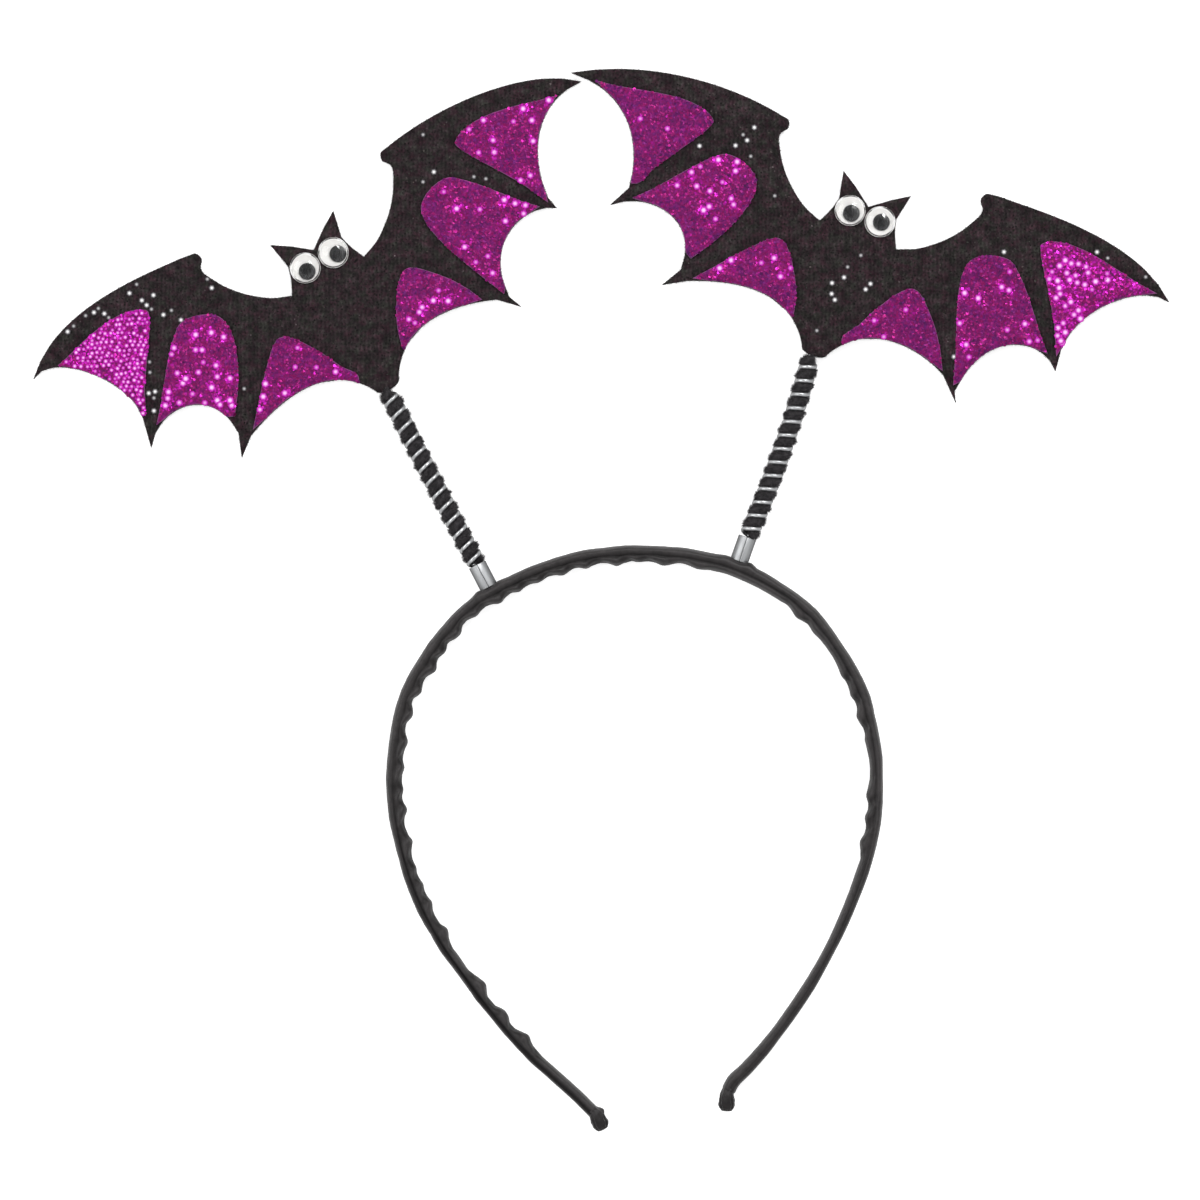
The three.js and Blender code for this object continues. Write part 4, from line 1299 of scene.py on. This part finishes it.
def pile_tree():
    """Short tapered fibres standing on a surface."""
    sizes = ["Density", "Fibre Length", "Fibre Radius", "Lean", "Clump Size", "Most Up"]
    tree, nodes, given, result = shape_tree(
        "cut pile", "Core", "Pile", Float=sizes, Int=["Seed"], Bool=["Keep Base"]
    )
    sideways = nodes.math("LESS_THAN", nodes.math("ABSOLUTE", face_height(nodes)), given["Most Up"])
    scatter = scatter_points(nodes, given, sideways)
    seeds = nodes.seeds(given["Seed"], 5)
    points = nodes.stored(scatter["Points"], "fibre_tone", nodes.random(0.0, 1.0, seeds[0]))
    leans = [nodes.random(-1.0, 1.0, seed) for seed in seeds[1:4]]
    lean = nodes.scaled(nodes.joined(*leans), given["Lean"])
    way = nodes.vector("NORMALIZE", nodes.vector("ADD", scatter["Normal"], lean))
    turned = nodes.add("FunctionNodeAlignRotationToVector", {"Vector": way}, axis="Z").outputs["Rotation"]
    cone = {"Vertices": 3, "Radius Bottom": given["Fibre Radius"], "Depth": given["Fibre Length"]}
    fibre = nodes.add("GeometryNodeMeshCone", cone, fill_type="NONE").outputs["Mesh"]
    clump = nodes.noise(nodes.position(), nodes.over(1.0, given["Clump Size"]), 1.0)
    tall = nodes.mapped(clump, 0.35, 0.65, 0.5, 1.5)
    scale = nodes.times(nodes.random(0.55, 1.15, seeds[4]), tall)
    inputs = {"Points": points, "Instance": fibre, "Rotation": turned, "Scale": scale}
    fibres = nodes.add("GeometryNodeInstanceOnPoints", inputs).outputs["Instances"]
    end_scatter(nodes, given, result, fibres)
    return tree


def strand_piece(name, side, tree, strand, ends, opening, finish):
    """A strand along a spring's axis from one end to another, coiled between two places."""
    foot, axis, reach = bopper_frame(side)
    spring = SPRINGS[side]
    values = {
        "Low": ends[0] * MM,
        "High": ends[1] * MM,
        "Start": opening[0] * MM,
        "End": opening[1] * MM,
        "Ramp": strand["ramp"] * spring["pitch"] * MM,
        "Bow Start": COIL_START * MM,
        "Reach": reach * MM,
        "Crossing": (reach - spring["strand"]) * MM,
        "Pitch": spring["pitch"] * MM,
        "Turned On": strand["turned_on"],
        "Coil Radius": strand["coil"] * MM,
        "Bow": spring["bow"] * MM,
        "Strand Radius": strand["radius"] * MM,
        "Steps": strand["steps"],
        "Sides": strand["sides"],
        "Foot": (foot[0] * MM, foot[1] * MM, AXIS_Z * MM),
        "Lean": math.atan2(axis[1], axis[0]) - math.pi / 2,
        "Finish": finish,
    }
    return grown(linked(name, bpy.data.meshes.new(name)), tree, values)


def spring_piece(side, coil):
    """The wire: a straight foot, a coil and a straight tail."""
    _, _, reach = bopper_frame(side)
    ends = (-WIRE["foot"], reach + WIRE["tail"])
    opening = (COIL_START, reach - COIL_END)
    piece = strand_piece(f"spring_wire_{side}", side, coil, WIRE, ends, opening, WIRE_METAL)
    return dress(piece, [f"spring_{side}"])


def chenille_piece(side, coil, pile):
    """The cord wound between the wire's turns: a core half a turn on from the wire, and its pile."""
    _, _, reach = bopper_frame(side)
    pitch = SPRINGS[side]["pitch"]
    low = COIL_START + CHENILLE_START * pitch
    high = reach - COIL_END - CHENILLE_END * pitch
    opening = (low - pitch, high + pitch)
    piece = strand_piece(f"chenille_pile_{side}", side, coil, CHENILLE, (low, high), opening, FUZZ)
    return dress(grown(piece, pile, {**PILE, "Finish": FUZZ}), [f"chenille_{side}"])


# Sheets


def smooth_outline(corners):
    """Points along a smooth curve through an outline's corners, sharp where it turns hard."""
    following = np.roll(corners, -1, axis=0)
    spans = np.linalg.norm(following - corners, axis=1)[:, None]
    leaving = (following - corners) / spans
    arriving = np.roll(leaving, 1, axis=0)
    before_spans = np.roll(spans, 1, axis=0)
    between = (arriving * spans + leaving * before_spans) / (spans + before_spans)
    turned = (leaving * arriving).sum(axis=1)
    pointed = turned < math.cos(math.radians(POINT_TURN_DEG))
    sharp = turned < math.cos(math.radians(SHARP_TURN_DEG))
    sharp = sharp | np.roll(pointed, 1) | np.roll(pointed, -1)
    start_way = np.where(sharp[:, None], leaving, between)
    end_way = np.roll(np.where(sharp[:, None], arriving, between), -1, axis=0)
    points = []
    for span, *ends in zip(spans, corners, start_way, following, end_way):
        count = max(1, round(float(span[0]) / OUTLINE_STEP))
        points.extend(curved(t, span, *ends) for t in np.arange(count) / count)
    return np.array(points)


def depth_inside(points, outline):
    """Distance of each point from an outline, negative outside it."""
    ahead = np.roll(outline, -1, axis=0)
    run = ahead - outline
    length = (run**2).sum(axis=1)
    level = np.where(run[:, 1] == 0, 1, run[:, 1])
    depths = np.empty(len(points))
    for k, point in enumerate(points):
        offset = point - outline
        share = np.clip((offset * run).sum(axis=1) / length, 0, 1)[:, None]
        nearest = math.sqrt(((offset - run * share) ** 2).sum(axis=1).min())
        passes = (outline[:, 1] > point[1]) != (ahead[:, 1] > point[1])
        crossing = outline[:, 0] + offset[:, 1] * run[:, 0] / level
        inside = np.count_nonzero(passes & (point[0] < crossing)) % 2
        depths[k] = nearest if inside else -nearest
    return depths


def filled(outline, rings):
    """Triangles that fill an outline, with rings of points close to its edge, and the points' depths."""
    along = np.roll(outline, -1, axis=0) - np.roll(outline, 1, axis=0)
    inward = np.column_stack([-along[:, 1], along[:, 0]]) / np.linalg.norm(along, axis=1)[:, None]
    points = [outline]
    for ring in rings:
        moved = outline + inward * ring
        points.append(moved[depth_inside(moved, outline) > RING_CLEAR * ring])
    low = outline.min(axis=0)
    high = outline.max(axis=0)
    columns, rows = np.meshgrid(*[np.arange(a, b, GRID_STEP) for a, b in zip(low, high)])
    columns[1::2] += GRID_STEP / 2
    grid = np.column_stack([columns.ravel(), rows.ravel()])
    points.append(grid[depth_inside(grid, outline) > rings[-1] + GRID_CLEAR * GRID_STEP])
    points = np.vstack(points)
    count = len(outline)
    edges = [(k, (k + 1) % count) for k in range(count)]
    made, _, triangles, sources, _, _ = delaunay_2d_cdt(points.tolist(), edges, [], 1, SAME_GRID_POINT)
    order = [source[0] for source in sources]
    assert order[:count] == list(range(count)), "the outline's points have to come first"
    made = np.array([tuple(point) for point in made])
    depths = depth_inside(made, outline)
    depths[:count] = 0
    return made, [tuple(triangle) for triangle in triangles], depths


class Bat:
    """One bat's own frame: out along its wings from its middle, and up from its bottom."""

    def __init__(self, side):
        self.side = side
        left = middle_of(f"eye_base_{side}_bat_left")[:2]
        right = middle_of(f"eye_base_{side}_bat_right")[:2]
        self.across = (right - left) / np.linalg.norm(right - left)
        self.up = np.array([-self.across[1], self.across[0]])
        self.origin = (left + right) / 2 - self.up * EYE_RISE[side]
        self.outline = self.local(rim(f"bat_{side}", 1)[:, :2])
        drop = AXIS_Z - SHEET / 2
        reach = np.array([-self.outline[:, 0].min(), self.outline[:, 0].max()])
        self.slopes = drop / (reach - CREASE)

    def local(self, xy):
        offset = np.asarray(xy) - self.origin
        return np.column_stack([offset @ self.across, offset @ self.up])

    def placed(self, uv, z):
        xy = self.origin + uv[:, :1] * self.across + uv[:, 1:2] * self.up
        return np.column_stack([xy, z])

    def front(self, uv):
        """Height of the felt's front, with the wings bent back and a slight ripple."""
        across, up = uv.T
        past = BEND_SOFT * np.log1p(np.exp((np.abs(across) - CREASE) / BEND_SOFT))
        slope = np.where(across < 0, self.slopes[0], self.slopes[1])
        ripple = np.sin(across / RIPPLE["across"] + RIPPLE["shift"]) * np.sin(up / RIPPLE["up"])
        ripple = ripple * smooth_step(np.abs(across) / RIPPLE["full"])
        return AXIS_Z + SHEET / 2 - past * slope + RIPPLE["height"] * ripple


def sheet_piece(name, bat, outline, proud, thick, edge, material):
    """A closed sheet with rounded edges on a bat's front. Gives the piece and its flat area."""
    uv, triangles, depths = filled(smooth_outline(outline), [share * edge for share in EDGE_RINGS])
    inset = edge - np.minimum(depths, edge)
    drop = edge - np.sqrt(np.maximum(edge**2 - inset**2, 0))
    top = bat.front(uv) + proud
    points = np.vstack([bat.placed(uv, top - drop), bat.placed(uv, top - thick + drop)])
    count = len(uv)
    rim_count = int(np.count_nonzero(depths == 0))
    faces = list(triangles)
    faces += [tuple(count + k for k in reversed(triangle)) for triangle in triangles]
    for k in range(rim_count):
        after = (k + 1) % rim_count
        faces.append((after, k, count + k, count + after))
    piece = mesh_piece(name, points, faces, material)
    # How near each point is to the sheet's edge, where the glitter sheet paints its edge highlight
    keep_values(piece, "edge_highlight", np.tile(np.clip(1 - depths / edge, 0, 1), 2))
    corners = uv[np.array(triangles)]
    one = corners[:, 1] - corners[:, 0]
    other = corners[:, 2] - corners[:, 0]
    area = np.abs(one[:, 0] * other[:, 1] - one[:, 1] * other[:, 0]).sum() / 2
    return piece, area


def charted(chart):
    """Places of charted flakes, and how bright each is."""
    places = np.array(chart["bright"] + chart["dim"], float).reshape(-1, 2)
    brightness = np.repeat([1.0, CHARTED["dim"]], [len(chart["bright"]), len(chart["dim"])])
    return places, brightness


def bright_rows(bat, uv, brightness, size):
    xy = bat.placed(uv, np.zeros(len(uv)))[:, :2]
    return np.column_stack([xy, brightness, np.full(len(uv), size)])


def drawn_in(uv, outline):
    """Places moved towards the middle of an outline until they lie well inside it."""
    middle = outline.mean(axis=0)
    for _ in range(MOVE_IN["rounds"]):
        way = (middle - uv) / np.linalg.norm(middle - uv, axis=1)[:, None]
        outside = depth_inside(uv, outline) < SPARKLE_MARGIN
        uv = uv + MOVE_IN["step"] * way * outside[:, None]
    return uv


def lattice_places(bat, outline):
    """Bright flakes on a slanting lattice that fills an outline."""
    chance = np.random.default_rng(LATTICE["seed"])
    step = LATTICE["step"]
    reach = np.arange(-LATTICE["cells"], LATTICE["cells"] + 1) * step
    columns, rows = np.meshgrid(reach, reach)
    columns[1::2] += step / 2
    slant = math.radians(LATTICE["slant_deg"])
    spots = np.column_stack([columns.ravel(), rows.ravel()])
    spots = spots @ np.array([[math.cos(slant), math.sin(slant)], [-math.sin(slant), math.cos(slant)]])
    spots = spots + outline.mean(axis=0) + chance.uniform(-1, 1, spots.shape) * LATTICE["jitter"]
    spots = spots[depth_inside(spots, outline) > LATTICE["margin"]]
    spots = spots[chance.random(len(spots)) < LATTICE["kept"]]
    brightness = chance.uniform(*LATTICE["brightness"], len(spots))
    return bright_rows(bat, spots, brightness, SPARKLE_SIZES["lattice"])


def bright_places(bat, place, outline):
    """A panel's bright flakes: place, brightness and share of the full size."""
    if place == LATTICE["panel"]:
        return lattice_places(bat, outline)
    places, full = charted(SPARKLES[place])
    inside = drawn_in(bat.local(places), outline)
    chance = np.random.default_rng(CHARTED["seed"])
    brightness = full * chance.uniform(*CHARTED["brightness"], len(full))
    return bright_rows(bat, inside, brightness, SPARKLE_SIZES["charted"])


def keep_painted_glow(piece, flakes, least):
    """Stores the painted glow: how much lighter the flakes round the bright ones are painted on a sheet.
    """
    spots = np.array([vertex.co[:2] for vertex in piece.data.vertices]) / MM
    painted_glow = np.full(len(spots), least, float)
    for x, y, bright, _ in flakes:
        apart = np.linalg.norm(spots - (x, y), axis=1)
        painted_glow = np.maximum(painted_glow, bright * np.exp(-((apart / GLOW_REACH) ** 2)))
    keep_values(piece, "painted_glow", painted_glow)


def bright_flake_piece(name, bat, flakes, kind, tree, finish):
    """Single bright flakes on a bat."""
    uv = bat.local(flakes[:, :2])
    points = bat.placed(uv, bat.front(uv) + kind["over"])
    piece = mesh_piece(name, points, [], finish, closed=False)
    keep_values(piece, "brightness", flakes[:, 2])
    keep_values(piece, "size_share", flakes[:, 3])
    return grown(piece, tree, {**BRIGHT_FLAKES, "Flake Size": kind["size"] * MM, "Finish": finish})


def flake_instances(nodes, points, seeds, size, tilt, facing=None):
    """Six-sided flakes on points, turned and tilted at random."""
    tilts = [nodes.times(nodes.random(-1.0, 1.0, seed), tilt) for seed in seeds[:2]]
    turn = nodes.joined(*tilts, nodes.random(0.0, TURN, seeds[2]))
    spin = nodes.add("FunctionNodeEulerToRotation", {"Euler": turn}).outputs["Rotation"]
    if facing:
        inputs = {"Rotation": facing, "Rotate By": spin}
        spin = nodes.add("FunctionNodeRotateRotation", inputs, rotation_space="LOCAL").outputs["Rotation"]
    sizes = {"Vertices": 6, "Radius": 0.5}
    flake = nodes.add("GeometryNodeMeshCircle", sizes, fill_type="TRIANGLE_FAN").outputs["Mesh"]
    off = nodes.length(nodes.position())
    # How near each point is to the flake's middle, where the bright flakes paint their glint palest
    flake = nodes.stored(flake, "core", nodes.minus(1.0, nodes.times(off, 2.0)))
    inputs = {"Points": points, "Instance": flake, "Rotation": spin, "Scale": size}
    return nodes.add("GeometryNodeInstanceOnPoints", inputs).outputs["Instances"]


def bright_flakes_tree():
    """A flake on each given point, larger where it is brighter."""
    sizes = ["Flake Size", "Tilt"]
    tree, nodes, given, result = shape_tree("bright flakes", "Places", "Flakes", Float=sizes, Int=["Seed"])
    share = nodes.times(nodes.between(nodes.kept("brightness"), 0.55, 1.0), nodes.kept("size_share"))
    size = nodes.times(given["Flake Size"], share)
    seeds = nodes.seeds(given["Seed"], 3)
    flakes = flake_instances(nodes, given["Places"], seeds, size, given["Tilt"])
    nodes.feed(result["Flakes"], nodes.finished(flakes, given["Finish"]))
    return tree


def flakes_tree():
    """Small six-sided flakes strewn over a sheet's front, painted lighter near the bright ones as a glow.
    """
    sizes = ["Density", "Flake Size", "Tone Range", "Patch Size", "Tone Lift", "Tilt", "Lift", "Least Up"]
    tree, nodes, given, result = shape_tree(
        "glitter flakes", "Sheet", "Flakes", Float=sizes, Int=["Seed"], Bool=["Keep Base"]
    )
    upwards = nodes.math("GREATER_THAN", face_height(nodes), given["Least Up"])
    scatter = scatter_points(nodes, given, upwards)
    seeds = nodes.seeds(given["Seed"], 6)
    # Painted glow: the tone is raised near the bright flakes
    lift = nodes.times(nodes.kept("painted_glow"), given["Tone Lift"])
    patch = nodes.noise(nodes.position(), nodes.over(1.0, given["Patch Size"]), 1.0)
    patch = nodes.mapped(patch, 0.3, 0.7)
    chance = nodes.times(nodes.random(0.0, 1.0, seeds[0]), 0.55)
    own = nodes.times(nodes.plus(chance, nodes.times(patch, 0.45)), given["Tone Range"])
    points = nodes.stored(scatter["Points"], "flake_tone", nodes.plus(own, lift))
    height = nodes.times(nodes.random(0.2, 1.0, seeds[1]), given["Lift"])
    inputs = {"Geometry": points, "Offset": nodes.scaled(scatter["Normal"], height)}
    points = nodes.add("GeometryNodeSetPosition", inputs).outputs["Geometry"]
    size = nodes.times(given["Flake Size"], nodes.random(0.7, 1.3, seeds[2]))
    flakes = flake_instances(nodes, points, seeds[3:], size, given["Tilt"], scatter["Rotation"])
    end_scatter(nodes, given, result, flakes)
    return tree


def to_edge(corners, edge):
    """A panel's corners, with those that lie along the wing's edge moved out close to it."""
    along = np.roll(corners, -1, axis=0) - np.roll(corners, 1, axis=0)
    outward = np.column_stack([along[:, 1], -along[:, 0]]) / np.linalg.norm(along, axis=1)[:, None]
    depth = depth_inside(corners, edge)
    room = np.where(depth < PANEL["near"], depth - PANEL["margin"], 0)
    return corners + outward * np.maximum(room, 0)[:, None]


def panel_pieces(bat, trees):
    """The glitter panels of a bat, and the bright flakes on all of them."""
    pieces = []
    flakes = []
    for row, (wing, segment) in enumerate((wing, segment) for wing in SIDES for segment in SEGMENTS):
        place = f"{bat.side}_bat_{wing}_{segment}"
        outline = to_edge(bat.local(rim(f"panel_{place}", 1)[:, :2]), bat.outline)
        thick = PANEL["proud"] + PANEL["sunk"]
        name = f"glitter_panel_{place}"
        piece, _ = sheet_piece(name, bat, outline, PANEL["proud"], thick, PANEL["round"], GLITTER_SHEET)
        chart = (bat.side, wing, segment)
        flakes.append(bright_places(bat, chart, outline))
        keep_painted_glow(piece, flakes[-1], PANEL_GLOW.get(chart, 0))
        seed = PANEL_SEEDS["first"] + PANEL_SEEDS["step"] * row
        grown(piece, trees["flakes"], {**PANEL_FLAKES, "Seed": seed, "Finish": PURPLE_FLAKES})
        pieces.append(dress(piece, [f"panel_{place}"]))
    name = f"panel_sparkles_{bat.side}"
    flakes = np.vstack(flakes)
    sparkles = bright_flake_piece(name, bat, flakes, SPARKLE, trees["bright"], SPARKLE_FLAKES)
    pieces.append(dress(sparkles, []))
    return pieces


def bat_pieces(bat, trees):
    """The felt with what is on its surface: dark flakes, stray bright ones, and nap on its edges."""
    side = bat.side
    felt, area = sheet_piece(f"bat_felt_{side}", bat, bat.outline, 0, SHEET, FELT_ROUND, FELT)
    strewn = linked(f"felt_flakes_{side}", felt.data.copy())
    grown(strewn, trees["flakes"], {**FELT_FLAKES, "Finish": BLACK_FLAKES})
    nap = linked(f"felt_nap_{side}", felt.data.copy())
    grown(nap, trees["pile"], {**NAP, "Finish": FELT})
    places, brightness = charted(FLECKS[side])
    flakes = bright_rows(bat, bat.local(places), brightness, SPARKLE_SIZES["charted"])
    name = f"felt_flecks_{side}"
    flecks = bright_flake_piece(name, bat, flakes, FLECK, trees["bright"], FLECK_FLAKES)
    dress(felt, [f"bat_{side}"])
    extras = [strewn, nap, flecks]
    for piece in extras:
        dress(piece, [])
    return felt, area, extras


# Eyes


def dome_profile(radius, height, foot):
    """Points of a dome from its rim to its top."""
    power = EYE["dome_power"]
    share = np.sin(np.linspace(0, math.pi / 2, EYE["dome_steps"]))
    out = np.maximum(1 - share**power, 0) ** (1 / power)
    return [(radius * o, foot + height * s) for o, s in zip(out[:-1], share[:-1])] + [(0, foot + height)]


def eye_pieces(bat, eye):
    """One eye: a white disc, a loose pupil on a body of its own, and a clear dome."""
    place = f"{bat}_bat_{eye}"
    centre = middle_of(f"eye_base_{place}")[:2]
    radius = EYE["radius"]
    foot = EYE["foot"]
    top = EYE["top"]
    edge = EYE["edge"]
    dish = top - EYE["dish"]
    profile = [(0, foot), (radius - edge, foot), (radius, foot + edge), (radius, top - edge)]
    profile += [(radius - edge, top), (radius - 3 * edge, top), (radius - 4 * edge, dish), (0, dish)]
    base = lathe_piece(f"eye_disc_{place}", profile, centre, EYE_WHITE)
    dress(base, [f"eye_base_{place}"])
    node = f"pupil_{place}"
    low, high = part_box(node)
    size = (high.x - low.x) / 2 / MM
    foot = low.z / MM
    head = high.z / MM
    edge = PUPIL["edge"]
    profile = [(0, foot), (size - edge, foot), (size, foot + edge), (size, head - edge)]
    profile += [(size - 0.3 * edge, head - 0.3 * edge), (size - edge, head), (0, head + PUPIL["crown"])]
    pupil = lathe_piece(f"pupil_disc_{place}", profile, middle_of(node)[:2], PUPIL_BLACK)
    dress(pupil, [node], node)
    wall = EYE["wall"]
    inside = dome_profile(radius - wall, EYE["dome"] - wall, top + EYE["gap"])
    outside = dome_profile(radius, EYE["dome"], top + EYE["gap"])
    dome = lathe_piece(f"eye_dome_clear_{place}", inside[::-1] + outside, centre, CLEAR)
    dress(dome, [f"eye_dome_{place}"])
    return [base, dome]


# Stage


def floor_piece():
    """A level floor just under the object."""
    corners = [(-1, -1), (1, -1), (1, 1), (-1, 1)]
    points = [(x * FLOOR_HALF, y * FLOOR_HALF, FLOOR_Z) for x, y in corners]
    mesh_piece("floor", points, [(0, 1, 2, 3)], FLOOR, closed=False)


def area_light(name, place, size, power):
    """A soft square light aimed at the middle of the object."""
    data = bpy.data.lights.new(name, "AREA")
    data.size = size
    data.energy = power
    light = linked(name, data)
    light.location = place
    x, y, z = place
    light.rotation_euler = (math.atan2(math.hypot(x, y), z), 0, math.atan2(x, -y))


def studio():
    """Two soft lights, and a sky that is brightest half way up."""
    for light in LIGHTS:
        area_light(*light)
    world = bpy.data.worlds.new("studio")
    world.use_nodes = True
    nodes = Nodes(world.node_tree)
    height = nodes.parts(nodes.add("ShaderNodeTexCoord").outputs["Generated"])["Z"]
    sky = nodes.ramp(height, [(place, [shade] * 3) for place, shade in SKY])
    background = world.node_tree.nodes["Background"].inputs
    nodes.feed(background["Color"], sky)
    nodes.feed(background["Strength"], SKY_STRENGTH)
    bpy.context.scene.world = world
    bpy.context.scene.view_settings.view_transform = "Standard"


def camera():
    """Straight above the object, with the photograph's frame."""
    data = bpy.data.cameras.new("camera")
    data.sensor_width = CAMERA["sensor"]
    data.lens = data.sensor_width * (CAMERA["height"] - AXIS_Z * MM) / CAMERA["across"]
    data.clip_end = CAMERA["clip_end"]
    made = linked("camera", data)
    made.location = (CAMERA["x"], 0, CAMERA["height"])
    bpy.context.scene.camera = made


# Assembly

camera()
studio()
floor_piece()

fold_tree = satin_folds_tree()
strand_tree = coil_tree()
surface_trees = {"pile": pile_tree(), "flakes": flakes_tree(), "bright": bright_flakes_tree()}

band_at, band_fine = band_rows()
satin_band(band_at, band_fine, fold_tree)
for end_side in SIDES:
    satin_end(end_side, band_fine, fold_tree)
    ferrule_piece(end_side)
    spring_piece(end_side, strand_tree)
    chenille_piece(end_side, strand_tree, surface_trees["pile"])
    this_bat = Bat(end_side)
    felt_sheet, felt_area, on_felt = bat_pieces(this_bat, surface_trees)
    on_felt += panel_pieces(this_bat, surface_trees)
    for eye_side in SIDES:
        on_felt += eye_pieces(end_side, eye_side)
